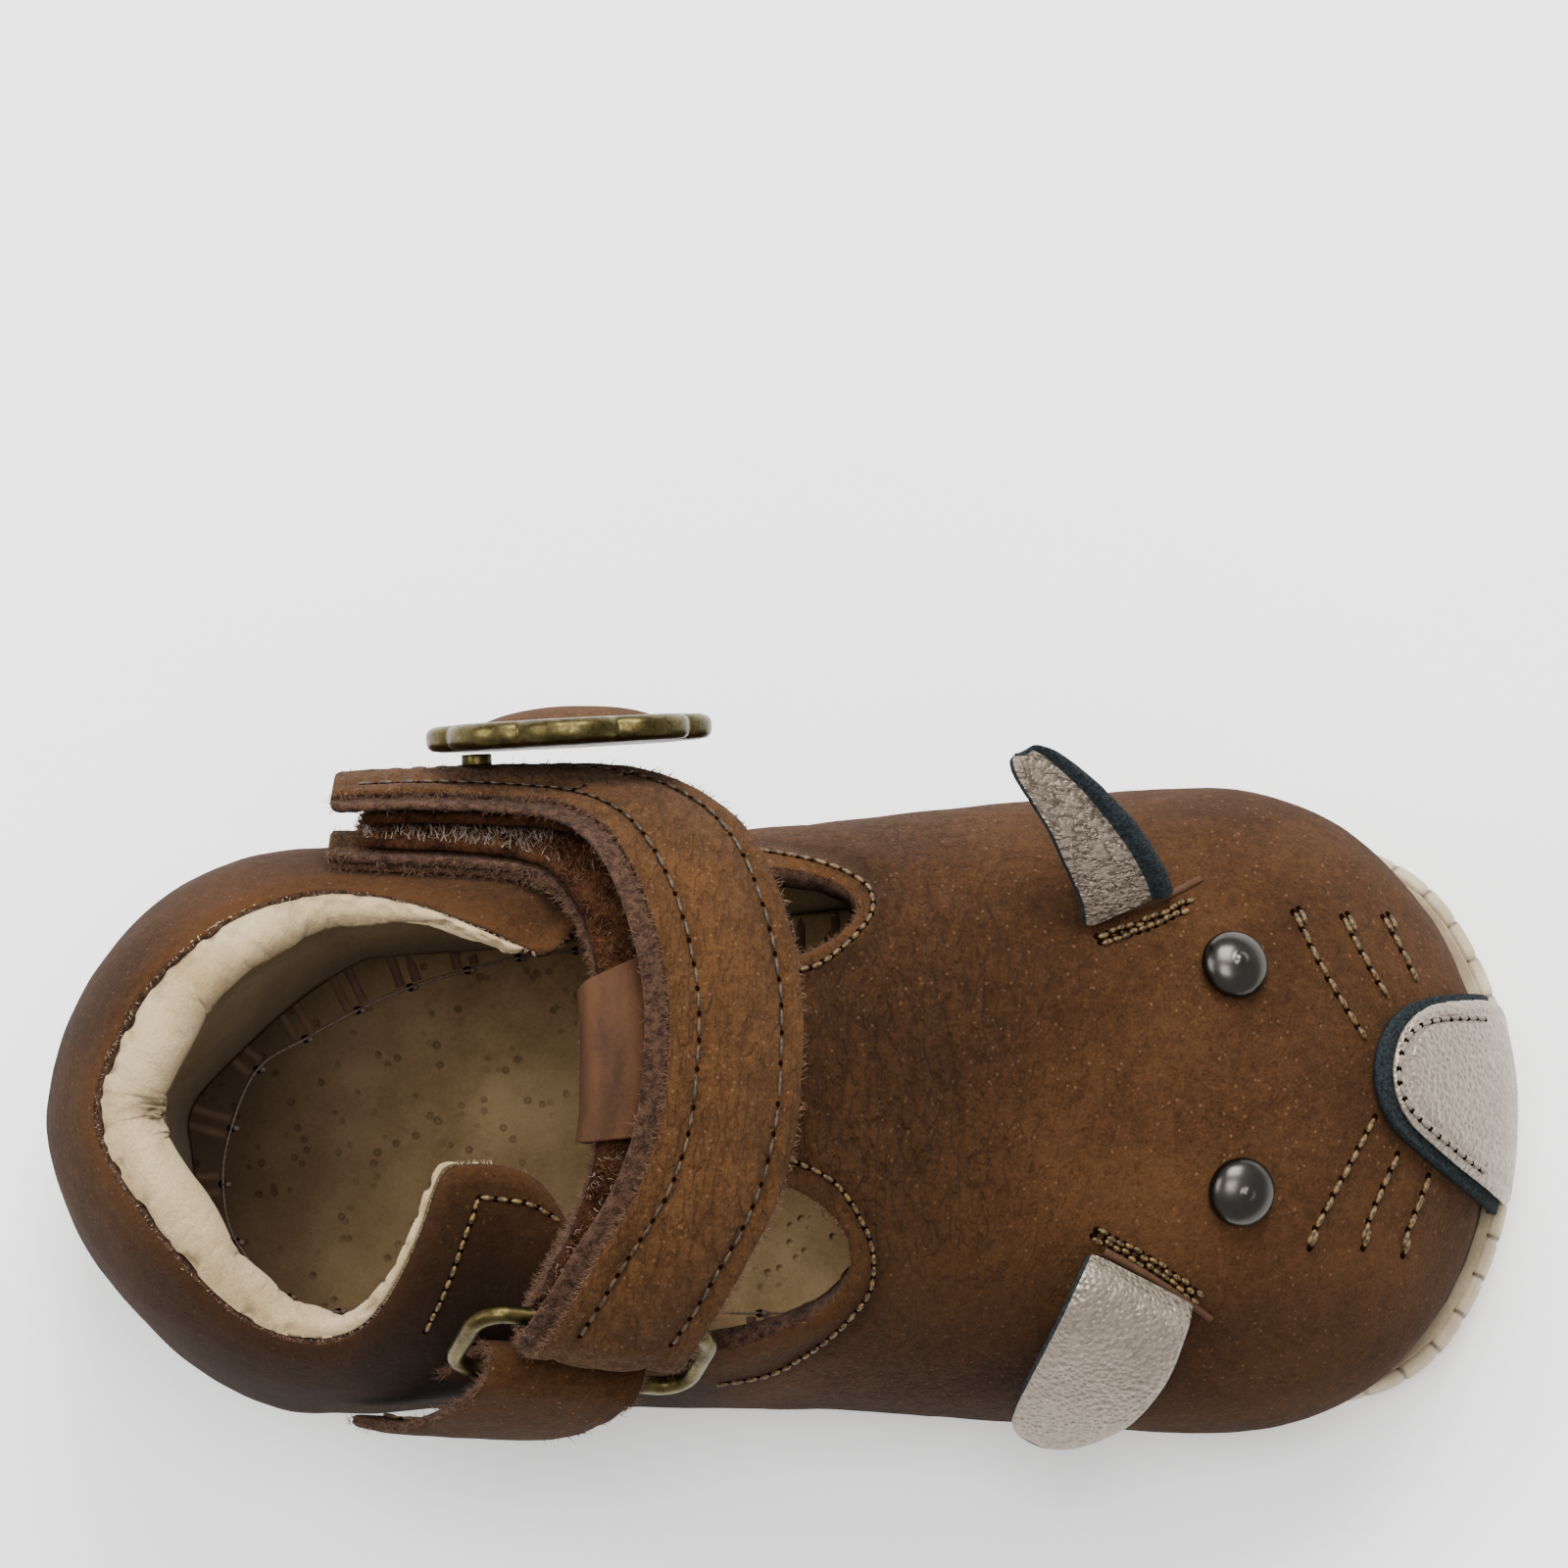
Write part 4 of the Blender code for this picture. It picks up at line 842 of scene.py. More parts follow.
# Painted shade on the roll: darker along its seam with the nubuck, in the gathers and in the heel fold.
shade = collar.data.attributes.new("painted_shade", "FLOAT", "POINT")
collar_normals = [vert.normal.copy() for vert in collar.data.vertices]
for vert, normal, tint in zip(collar.data.vertices, collar_normals, shade.data):
    away = abs(opening.distance(vert.co))
    gathers = max(0.0, hills(vert.co, 0.0013, 6.0)) ** 0.6 * (1 - smooth(0.0005, 0.0026, away))
    folds = hills(vert.co, 0.006, 2.0) * 0.16 + hills(vert.co, 0.0024, 9.0) * 0.05
    heel_fold = bell(vert.co.y, -0.0012, 0.0006) * (vert.co.x < -0.008) * smooth(0.0015, 0.006, away)
    vert.co = vert.co + normal * ((folds - 0.75 * gathers - 0.25 * heel_fold) * MM * smooth(0.0, 0.001, away))
    tint.value = min(0.9, 0.85 * (1 - smooth(0.0, 0.00035, away)) + 0.55 * gathers + 0.5 * heel_fold)
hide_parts("collar_padding")
print("collar roll is", round(line_length(collar_line) * 1000), "mm long")

# %% [markdown]
# ## The insole
# The insole is tan pigskin with small sunk pores in scattered groups, slightly cupped and uneven. It is a
# disc of rings, like the CAD node, with its surface raised a little towards the wall. Its sewing follows
# after the other stitches.

# %% Insole
pigskin = Finish("pigskin", 0.82, Specular_IOR_Level=0.3)
pig_down = pigskin.cloud(0.35, 5.0, 0.7)
pig_blotches = pigskin.cloud(9.0, 4.0, 0.6)
pore_shape = pigskin.dots(1.25)
pores = pigskin.between(pore_shape, 0.04, 0.34)
scatter = pigskin.between(pigskin.cloud(3.0, 2.0), 0.46, 0.56)
pig_tone = pigskin.between(pig_down * 0.30 + pig_blotches * 0.75, 0.34, 0.74)
pig_skin = pigskin.blend(pig_tone, linear(116, 92, 60), linear(158, 132, 94))
pits = (1 - pores) * scatter
pig_skin = pigskin.blend(pits * 0.10, pig_skin, linear(60, 40, 21))
# Painted shade: where the insole's shade attribute is set, it darkens to this brown.
pigskin.colour(pigskin.blend(pigskin.attribute("painted_shade"), pig_skin, linear(40, 24, 11)))
pigskin.relief(pig_down * 0.35 + (1 - pits) * 0.9 + pig_blotches * 0.9, 0.00050)


def insole_place(turn, share):
    place = column(turn)
    inset = upper_inset(place.along) + WALL + 2 * GAP
    point = plan_point(place, share, inset if share > 0 else 0.0)
    height = ground(point.x) + SOLE_THICKNESS + GAP + INSOLE_THICKNESS
    rise = 0.0009 * share**6 + 0.00045 * hills(Vector((point.x, point.y, 0)), 0.012, 6.0)
    return Vector((point.x, point.y, height + rise))


insole_top = grid(240, 48, insole_place)
insole_painted_shade = insole_top.verts.layers.float.new("painted_shade")
# Painted shade: darker at the heel and towards the wall.
for vert in insole_top.verts:
    place_along = held(along_of(vert.co.x))
    side = abs(vert.co.y - centre_y(place_along)) / half_width(place_along)
    heel_shade = 1 - smooth(-0.012, 0.026, vert.co.x - 0.25 * vert.co.y)
    vert[insole_painted_shade] = min(0.9, 0.45 * smooth(0.62, 0.86, side) + 0.95 * heel_shade)
insole = piece("insole_sheet", insole_top, [pigskin])
thicken(insole, INSOLE_THICKNESS * 0.8, -1 if insole.data.polygons[0].normal.z > 0 else 1)
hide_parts("insole")
print("insole faces:", len(insole.data.polygons))

# %% [markdown]
# ## The lining's wall
# Under the roll the lining leans in to the insole, most at the heel's lateral side, and is seen there as a
# shaded cream band. The line where it meets the insole was read from the photograph. The band is a sheet
# between the roll's underside and that line, with a few soft folds.

# %% Lining wall
WALL_FOOT = [(22.0, 21.4), (16.2, 20.3), (8.5, 17.5), (-0.4, 13.0), (-8.4, 5.9), (-11.3, 2.1), (-11.2, -1.6),
             (-10.2, -6.5), (-7.2, -11.5), (-2.5, -15.8), (2.5, -18.2)]
LINING_THICKNESS = 0.0005
foot_line = smooth_line(in_metres(WALL_FOOT), 0.0003)


def lining_wall_place(way, down):
    foot = foot_line[round(way * (len(foot_line) - 1))]
    collar_way = 0.07 + 0.70 * way
    top, inward = collar_frame(collar_way)
    start = top + inward * (roll_size(collar_way, "width") * 0.45)
    start.z = dome_over(top.x, top.y) - roll_size(collar_way, "drop") * 0.75
    foot_z = ground(foot.x) + SOLE_THICKNESS + GAP + INSOLE_THICKNESS + 0.0004
    foot_along = along_of(foot.x)
    room = half_width(foot_along) - upper_inset(foot_along) - WALL - 2 * GAP
    middle_y = centre_y(foot_along)
    end = Vector((foot.x, middle_y + clamp(foot.y - middle_y, -room, room), foot_z))
    point = start.lerp(end, down)
    point += Vector((inward.x, inward.y, 0)) * (-0.0016 * math.sin(math.pi * down))
    return point + inward * (0.35 * MM * hills(point, 0.008, 12.0) * math.sin(math.pi * down))


lining_sheet = grid(260, 30, lining_wall_place)
# The band darkens towards the insole: mostly painted shade under the roll, and partly a darker leather strip at its
# foot.
lining_painted_shade = lining_sheet.verts.layers.float.new("painted_shade")
for vert in lining_sheet.verts:
    vert[lining_painted_shade] = 0.12 + 0.72 * (1 - smooth(0.006, 0.020, vert.co.z))
lining_wall = piece("lining_wall", lining_sheet, [cream_suede])
thicken(lining_wall, LINING_THICKNESS, 0)
print("lining wall faces:", len(lining_wall.data.polygons))

# %% [markdown]
# ## Straps and their turns
# A strap lies on the last like a ribbon. A table gives its rows: where its back and front edges lie along
# the shoe, how far round the foot, and how far it stands off. A smooth curve through the rows gives the
# ribbon, and each piece of leather, pile or thread is laid at its own height over it.

# %% Ribbons on the last
STRAP_WIDTH, STRAP_THICKNESS, PILE_THICKNESS, HOOK_THICKNESS = 0.0128, 0.0017, 0.0009, 0.0010
STRAP_REST, LOOP_LEATHER, TAB_WIDTH, TAB_THICKNESS = 0.0004, 0.0009, 0.0136, 0.0011
RING_WIRE, RING_LENGTH, RING_WIDTH, RING_CORNER = 0.0016, 0.0225, 0.0108, 0.0026
Run = namedtuple("Run", "back back_angle front front_angle layer tilt")
STRAP_RUNS = [
    Run(0.189, 37, 0.189, 12, 0.0, 0.00), Run(0.234, 41, 0.246, 14, 0.0, 0.00),
    Run(0.287, 45, 0.327, 18, 0.0, 0.00), Run(0.328, 51, 0.400, 28, 0.0, 0.00),
    Run(0.357, 64, 0.446, 45, 0.0, 0.02), Run(0.370, 78, 0.470, 67, 0.0, 0.04),
    Run(0.371, 92, 0.475, 90, 0.0, 0.06), Run(0.357, 104, 0.465, 109, 0.0, 0.04),
    Run(0.338, 114, 0.446, 121, 0.0, 0.02), Run(0.328, 122, 0.436, 129, 0.0, 0.00),
    Run(0.323, 126.5, 0.431, 133, 0.17, 0.00), Run(0.321, 128, 0.429, 134.5, 0.50, 0.00),
    Run(0.325, 126, 0.433, 132.5, 0.83, 0.00), Run(0.334, 121.5, 0.443, 128, 1.0, 0.02),
    Run(0.360, 110.5, 0.464, 116, 1.0, 0.06), Run(0.389, 99, 0.489, 102, 1.0, 0.12),
    Run(0.402, 87, 0.499, 85, 1.0, 0.16), Run(0.396, 73, 0.488, 67, 1.0, 0.16),
    Run(0.376, 58, 0.461, 46, 1.0, 0.12), Run(0.346, 48, 0.420, 31, 1.0, 0.08),
    Run(0.306, 42, 0.352, 17, 1.0, 0.04), Run(0.254, 38, 0.272, 12, 1.0, 0.02),
    Run(0.192, 36, 0.195, 10, 1.0, 0.00),
]
TAB_RUNS = [
    Run(0.262, 148, 0.372, 154, 0.0, 0.0), Run(0.278, 142.4, 0.390, 148.2, 0.0, 0.0),
    Run(0.291, 137.6, 0.405, 144, 0.0, 0.0), Run(0.297, 135.6, 0.412, 142, 0.17, 0.0),
    Run(0.299, 134.7, 0.414, 141, 0.50, 0.0), Run(0.296, 135.9, 0.411, 142.2, 0.83, 0.0),
    Run(0.289, 138.1, 0.403, 144.5, 1.0, 0.0), Run(0.266, 147, 0.380, 152, 0.95, 0.0),
    Run(0.235, 159, 0.350, 163, 0.70, 0.0), Run(0.202, 169, 0.322, 173, 0.25, 0.0),
]
RIBBON_END = 0.0009


def last_point(along, angle):
    turn = math.radians(clamp(angle, 0.0, 180.0))
    power = 2 / section(along, "square")
    side = 1 if angle < 90 else -1
    belt = section(along, "belt") * INSTEP_HEIGHT
    rise = section(along, "rise") * INSTEP_HEIGHT
    return Vector((world_x(along), centre_y(along) + side * abs(math.cos(turn)) ** power * half_width(along),
                   belt + (rise - belt) * math.sin(turn) ** power))


def last_normal(along, angle):
    low, high = max(angle - 4.0, 1.0), min(angle + 4.0, 179.0)
    forward = last_point(along + 0.02, angle) - last_point(along - 0.02, angle)
    return (last_point(along, high) - last_point(along, low)).cross(forward).normalized()


def run_at(table, way):
    last = len(table) - 1
    k = min(int(way), last - 1)
    t = way - k
    four = zip(table[max(k - 1, 0)], table[k], table[k + 1], table[min(k + 2, last)])
    return Run(*(through_four(a, b, c, d, t) for a, b, c, d in four))


def ribbon_row(run, width, height_of, steps):
    scale = 1.0
    for _ in range(3):
        points = []
        for i in range(steps + 1):
            share = i / steps
            along = run.back + (run.front - run.back) * share * scale
            angle = run.back_angle + (run.front_angle - run.back_angle) * share * scale
            lift = height_of(run, angle) + run.tilt * STRAP_WIDTH * (1 - share)
            points.append(last_point(along, angle) + last_normal(along, angle) * lift)
        scale *= width / line_length(points)
    return points


# A ribbon's middle surface and its outward side, sampled once and read back between the samples.
class Ribbon:
    def __init__(self, table, start, stop, width, height_of, count=160, steps=10):
        self.count, self.steps = count, steps
        ways = [start + (stop - start) * i / count for i in range(count + 1)]
        self.rows = [ribbon_row(run_at(table, way), width, height_of, steps) for way in ways]
        self.width = width
        self.sides = []
        for k, row in enumerate(self.rows):
            ahead, behind = self.rows[min(k + 1, count)], self.rows[max(k - 1, 0)]
            self.sides.append([(ahead[i] - behind[i]).cross(row[min(i + 1, steps)] - row[max(i - 1, 0)]).normalized()
                               for i in range(steps + 1)])
        self.length = line_length([row[steps // 2] for row in self.rows])

    def read(self, table, way, share):
        i, j = clamp(way) * self.count, clamp(share) * self.steps
        a, b = min(int(i), self.count - 1), min(int(j), self.steps - 1)
        low = table[a][b].lerp(table[a][b + 1], j - b)
        high = table[a + 1][b].lerp(table[a + 1][b + 1], j - b)
        return low.lerp(high, i - a)

    # A point over the ribbon: way 0 to 1 along it, share 0 to 1 across it, and a height off its middle.
    def over(self, way, share, height=0.0):
        point = self.read(self.rows, way, share)
        extra = (share - clamp(share)) * self.width
        if extra:
            across = self.read(self.rows, way, 1.0) - self.read(self.rows, way, 0.0)
            point = point + across.normalized() * extra
        return point + self.read(self.sides, way, share).normalized() * height


# Wraps a closed section round a ribbon. Each point of the section has a share across the ribbon, a rise
# from -1 at its underside to 1 at its top, and the number of its finish. Swell gives extra millimetres,
# and lip says how far the points with a share below 0 spread.
def wrap_ribbon(ribbon, columns, section_points, thickness, swell, lip=None):
    count = len(section_points)
    ends = RIBBON_END / ribbon.length

    def place(way, round_share):
        share, rise, _ = section_points[round(round_share * count) % count]
        near = min(way, 1 - way) / ends
        taper = math.sqrt(max(0.0, 1 - (1 - min(near, 1.0)) ** 2))
        height = rise * thickness / 2 * taper + swell(way, share, rise) * MM * taper
        if lip and share < 0:
            share *= lip(way)
        return ribbon.over(way, 0.5 + (share - 0.5) * (0.95 + 0.05 * taper), height)

    def paint(way, round_share):
        return section_points[int(round_share * count) % count][2]

    return grid(columns, count, place, paint)


print("ribbon helpers are ready")

# %% [markdown]
# ## The strap
# The strap is two layers of nubuck sewn back to back, so its sides show two lips with a fuzzy groove
# between them. It leaves the lateral quarter, crosses the instep, turns round the ring and comes back to
# close on its own pile. One section is wrapped along the whole ribbon: pillowed between the two rows of
# stitches, sunk at them, and with its raw sides in their own finish.

# %% Strap
NUBUCK_FACE, RAW_FACE = 0, 1
STITCH_INSET = 0.0024
STRAP_TURN_WAY = 0.5
LIP_SPREAD = 0.15
STRAP_CREASED = 0.85


def seat(angle):
    crest = smooth(38, 62, angle) * (1 - smooth(112, 134, angle))
    return GAP + STRAP_REST + crest * (LOOP_LEATHER + LAYER_GAP)


LAYER_STEP = STRAP_THICKNESS + PILE_THICKNESS + HOOK_THICKNESS + 3 * LAYER_GAP


def strap_height(run, angle):
    return seat(angle) + STRAP_THICKNESS / 2 + clamp(run.layer) * LAYER_STEP


# The upper layer's back edge may spread past the lower's as a fuzzy lip, by a share of the width.
def lip_section(groove=0.030, spread=0.0):
    top = [0.0, 0.012, 0.04, 0.09, 0.14, 0.185, 0.23, 0.33, 0.42, 0.5,
           0.58, 0.67, 0.77, 0.815, 0.86, 0.91, 0.96, 0.988, 1.0]
    rises = [0.62, 0.90, 1.0] + [1.0] * 13 + [1.0, 0.90, 0.62]
    over = [(share, rise, NUBUCK_FACE) for share, rise in zip(top, rises)]
    front = [(1.0 - groove * 0.2, 0.30, RAW_FACE), (1.0 - groove, 0.05, RAW_FACE), (1.0 - groove, -0.10, RAW_FACE),
             (1.0 - groove * 0.2, -0.34, RAW_FACE)]
    under = [(1 - share, -rise, NUBUCK_FACE) for share, rise in zip(top, rises)]
    behind = [(groove * 0.2, -0.34, RAW_FACE), (groove, -0.12, RAW_FACE), (groove * 0.8, 0.0, RAW_FACE)]
    lip = [(-spread * 0.35, 0.02, RAW_FACE), (-spread * 0.75, 0.10, RAW_FACE), (-spread * 0.96, 0.28, RAW_FACE),
           (-spread, 0.55, RAW_FACE), (-spread * 0.94, 0.80, RAW_FACE), (-spread * 0.7, 0.95, RAW_FACE),
           (-spread * 0.35, 1.0, RAW_FACE)] if spread else [(groove * 0.2, 0.30, RAW_FACE)]
    if spread:
        over = [(0.0, 1.0, RAW_FACE), (0.02, 1.0, RAW_FACE)] + over[2:]
    over[-1] = (*over[-1][:2], RAW_FACE)
    under[-1] = (*under[-1][:2], RAW_FACE)
    return over + front + under + behind + lip


def stitch_dip(share, width):
    inset = STITCH_INSET / width
    return sum(bell(share, line, 0.035) for line in (inset, 1 - inset))


def strap_swell(way, share, rise):
    if abs(rise) < 0.55 or share < 0:
        return 0.10 * ripple(way * 300, share * 14, rise * 5) + 0.12 * ripple(way * 70, share * 5, rise)
    pillow = 0.30 * max(0.0, 1 - (abs(share - 0.5) / 0.30) ** 2) + 0.10 * (1 - abs(2 * share - 1) ** 6)
    uneven = 0.08 * ripple(way * 60, share * 4, 1.0) + 0.05 * ripple(way * 170, share * 9, 4.0)
    slant = ripple(way * 16, share * 6.5 + way * 30, 7.0)
    fold = 0.16 * bell(slant, 0, 0.10) * (1 - abs(2 * share - 1) ** 6)
    top = pillow - 0.26 * stitch_dip(share, STRAP_WIDTH) + uneven - fold
    outer_run = way > STRAP_TURN_WAY
    return (top if rise > 0 else -0.15 * top) if not outer_run else (-top if rise < 0 else 0.15 * top)


# The inner run keeps a narrow lip, and none where the T-bar's sleeve holds it. The outer run's is wide.
def strap_lip(way):
    return 0.30 * (1 - smooth(0.10, 0.17, way)) + smooth(0.38, 0.44, way) * 0.35 + smooth(0.50, 0.60, way) * 0.65


strap_ribbon = Ribbon(STRAP_RUNS, 0, len(STRAP_RUNS) - 1, STRAP_WIDTH, strap_height, count=240)
strap_mesh = wrap_ribbon(strap_ribbon, 620, lip_section(spread=LIP_SPREAD), STRAP_THICKNESS, strap_swell, strap_lip)
strap = piece("strap_nubuck", strap_mesh, [strap_nubuck, raw_edge])
for crease in strap.data.attributes.new("creased", "FLOAT", "POINT").data:
    crease.value = STRAP_CREASED
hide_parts("strap")
print("strap is", round(strap_ribbon.length * 1000), "mm long, with", len(strap.data.polygons), "faces")

# %% [markdown]
# ## Pile and hooks
# The closure is a brown looped pile on the strap's inner run and a patch of small clear hooks under its end.
# The tape is a thin ribbon of its own, dark and woolly, and short strands stand on it. They are curves with a
# bevel, because a few points make a whole thread.

# %% Tapes and strands
PILE_LOOPS, CLEAR_HOOKS, LOOP_RADIUS, HOOK_RADIUS = 3600, 640, 0.00006, 0.000032
pile_fluff = Finish("pile_fluff", 0.97, Specular_IOR_Level=0.05)
loops = pile_fluff.cloud(0.45, 5.0, 0.75)
matted = pile_fluff.cloud(2.4, 3.0)
pile_fluff.dye(loops * 0.6 + matted * 0.5, 0.40, 0.70, linear(26, 13, 7), linear(70, 43, 26))
pile_fluff.relief(loops + matted * 0.6, 0.0005)
pile_yarn = two_tone("pile_yarn", 0.9, 1.3, 3.0, linear(48, 26, 14), linear(102, 72, 50), Specular_IOR_Level=0.1)
clear_yarn = two_tone("clear_yarn", 0.35, 1.0, 3.0, linear(124, 112, 98), linear(188, 178, 166),
                      Transmission_Weight=0.35)
leather_down = two_tone("leather_down", 0.95, 1.1, 3.0, linear(56, 38, 28), linear(122, 94, 76),
                        Specular_IOR_Level=0.1)
cream_down = two_tone("cream_down", 0.95, 1.2, 3.0, linear(166, 146, 112), linear(204, 188, 158))


def strands(name, lines, radius, finish, taper=0.75, rounds=0):
    curve = bpy.data.curves.new(name, "CURVE")
    curve.dimensions = "3D"
    curve.bevel_depth = radius
    curve.bevel_resolution = rounds
    for line in lines:
        spline = curve.splines.new("POLY")
        spline.points.add(len(line) - 1)
        for index, (slot_point, point) in enumerate(zip(spline.points, line)):
            slot_point.co = (*point, 1)
            slot_point.radius = 1.0 - taper * index / (len(line) - 1)
    curve.materials.append(finish.material)
    item = linked(name, curve)
    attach(item, "root")
    return item


def any_way():
    return Vector([dice.uniform(-1, 1) for _ in range(3)])


# A short bent strand from a root, along a direction, with a random lean.
def strand(root, direction, length, wild):
    lean, bend = any_way() * wild, any_way() * wild
    middle = root + (direction + lean).normalized() * length * 0.5
    return [root, middle, middle + (direction + lean + bend).normalized() * length * 0.5]


def pile_height(_, angle):
    return seat(angle) + STRAP_THICKNESS + LAYER_GAP + PILE_THICKNESS / 2


def hook_height(_, angle):
    return seat(angle) + STRAP_THICKNESS + 2 * LAYER_GAP + PILE_THICKNESS + HOOK_THICKNESS / 2


TAPE_SECTION = [(0.0, 0.4, 0), (0.01, 0.9, 0)] + [(0.06 + 0.88 * i / 16, 1.0, 0) for i in range(17)]
TAPE_SECTION += [(0.99, 0.9, 0), (1.0, 0.4, 0)]
TAPE_SECTION += [(x, -y, 0) for x, y, _ in reversed(TAPE_SECTION)]
TAPE_WIDTH = STRAP_WIDTH - 0.0010


def tape_swell(way, share, rise):
    return 0.14 * ripple(way * 150, share * 24, 2.0) if rise > 0.95 else 0.0


pile_ribbon = Ribbon(STRAP_RUNS, 0.5, 8.0, TAPE_WIDTH, pile_height, count=120)
loop_tape = piece("pile_tape", wrap_ribbon(pile_ribbon, 260, TAPE_SECTION, PILE_THICKNESS, tape_swell),
                  [pile_fluff])
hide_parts("loop_tape")
hook_ribbon = Ribbon(STRAP_RUNS, 18.0, 21.6, TAPE_WIDTH, hook_height, count=80)
hook_tape = piece("hook_patch", wrap_ribbon(hook_ribbon, 140, TAPE_SECTION, HOOK_THICKNESS, tape_swell),
                  [pile_fluff])
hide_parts("hook_tape")

pile_lines, clear_lines = [], []
for _ in range(PILE_LOOPS):
    way, share = dice.random(), dice.uniform(0.01, 0.99)
    root = pile_ribbon.over(way, share, PILE_THICKNESS * 0.42)
    side = pile_ribbon.read(pile_ribbon.sides, way, share)
    pile_lines.append(strand(root, side, dice.uniform(0.0004, 0.0008), 1.0))
for _ in range(CLEAR_HOOKS):
    way = min(0.98, max(0.02, dice.gauss(0.78, 0.12) if dice.random() < 0.5 else dice.gauss(0.18, 0.10)))
    share = dice.uniform(0.0, 0.6)
    root = pile_ribbon.over(way, share, PILE_THICKNESS * 0.45)
    side = pile_ribbon.read(pile_ribbon.sides, way, share)
    clear_lines.append(strand(root, side, dice.uniform(0.0006, 0.0011), 0.8))
strands("pile_loops", pile_lines, LOOP_RADIUS, pile_yarn)
strands("clear_hooks", clear_lines, HOOK_RADIUS, clear_yarn)
print("pile strands:", len(pile_lines), "clear hooks:", len(clear_lines), "tapes in mm:",
      round(pile_ribbon.length * 1000, 1), round(hook_ribbon.length * 1000, 1), "x", round(TAPE_WIDTH * 1000, 1))

# %% [markdown]
# ## The T-bar's loop
# The T-bar ends in a tongue that folds round the strap's inner run. It is one smooth piece of thinner
# leather, so it is a sleeve: its outside is a closed belt round the strap, and Solidify gives it a wall.

# %% T-bar loop
LOOP_LENGTH, LOOP_LEAN = 0.0145, 0.0035
smooth_leather = Finish("smooth_leather", 0.74, Specular_IOR_Level=0.16)
loop_clouds = smooth_leather.cloud(4.0, 4.0, 0.6, place=smooth_leather.squash((1.0, 0.35, 1.0)))
loop_grain = smooth_leather.cloud(0.35, 4.0, 0.6)
smooth_leather.dye(loop_clouds * 0.8 + loop_grain * 0.2, 0.36, 0.66, linear(44, 27, 13), linear(70, 43, 23))
smooth_leather.relief(loop_grain * 0.4 + loop_clouds, 0.00012)
flat_ribbon = Ribbon(STRAP_RUNS, 3.0, 8.0, STRAP_WIDTH, lambda run, angle: seat(angle), count=160)
loop_middle = centre_y(0.43) + LOOP_LEAN
ways = [i / 400 for i in range(401)]
loop_start = min(ways, key=lambda way: abs(flat_ribbon.over(way, 0.5).y - loop_middle - LOOP_LENGTH / 2))
loop_stop = min(ways, key=lambda way: abs(flat_ribbon.over(way, 0.5).y - loop_middle + LOOP_LENGTH / 2))
LOOP_UNDER = -(LAYER_GAP + LOOP_LEATHER)
LOOP_OVER = STRAP_THICKNESS + PILE_THICKNESS + 2 * LAYER_GAP + LOOP_LEATHER


# One turn of the sleeve's section: over the strap, round its front edge, under it and round its back edge,
# where the leather bows out a little.
def sleeve_place(way, round_share):
    turn = math.tau * round_share
    half = 0.5 + (LAYER_GAP + LOOP_LEATHER) / STRAP_WIDTH
    across, up = math.cos(turn), math.sin(turn)
    box = (abs(across) ** 7 + abs(up) ** 7) ** (-1 / 7)
    middle, tall = (LOOP_OVER + LOOP_UNDER) / 2, (LOOP_OVER - LOOP_UNDER) / 2
    share = 0.5 - half * across * box
    height = middle + tall * up * box
    if across > 0:
        share -= 0.05 * across * (1 - up * up)
    at = loop_start + (loop_stop - loop_start) * way
    wave = 0.10 * ripple(way * 3.0, math.cos(turn), math.sin(turn)) * MM
    return flat_ribbon.over(at, share, height + wave * (height > middle))


sleeve = piece("t_bar_sleeve", grid(70, 72, sleeve_place), [smooth_leather, raw_edge])
thicken(sleeve, LOOP_LEATHER, -1, material_offset_rim=1)
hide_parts("t_bar_loop")
print("sleeve from", round(loop_start, 2), "to", round(loop_stop, 2))

# %% [markdown]
# ## The ring's tab and the ring
# A narrow tab of nubuck is folded through the ring and sewn to the medial quarter. The ring is a long link
# of brass wire with rounded corners, dull and dark with a yellow shine where it is rubbed.

# %% Ring tab and ring
def tab_height(run, angle):
    step = TAB_THICKNESS + RING_WIRE + 4 * GAP
    return GAP + STRAP_REST + TAB_THICKNESS / 2 + clamp(run.layer) * step


def tab_swell(way, share, rise):
    if abs(rise) < 0.55:
        return 0.05 * ripple(way * 160, share * 3, rise * 5)
    lump = 0.10 * ripple(way * 24, share * 5, 3.0) + 0.12 * (1 - abs(2 * share - 1) ** 4)
    return lump * (1 if rise > 0 else -0.4)


tab_ribbon = Ribbon(TAB_RUNS, 0, len(TAB_RUNS) - 1, TAB_WIDTH, tab_height, count=140)
ring_tab = piece("tab_nubuck", wrap_ribbon(tab_ribbon, 260, lip_section(0.02), TAB_THICKNESS, tab_swell),
                 [tab_shaded_nubuck, raw_edge])
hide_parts("ring_tab")


def turn_centre(table, turn, width, height_of):
    first = ribbon_row(table[turn[0]], width, height_of, 2)
    final = ribbon_row(table[turn[1]], width, height_of, 2)
    return (first[0] + final[0]) / 2, (first[-1] + final[-1]) / 2


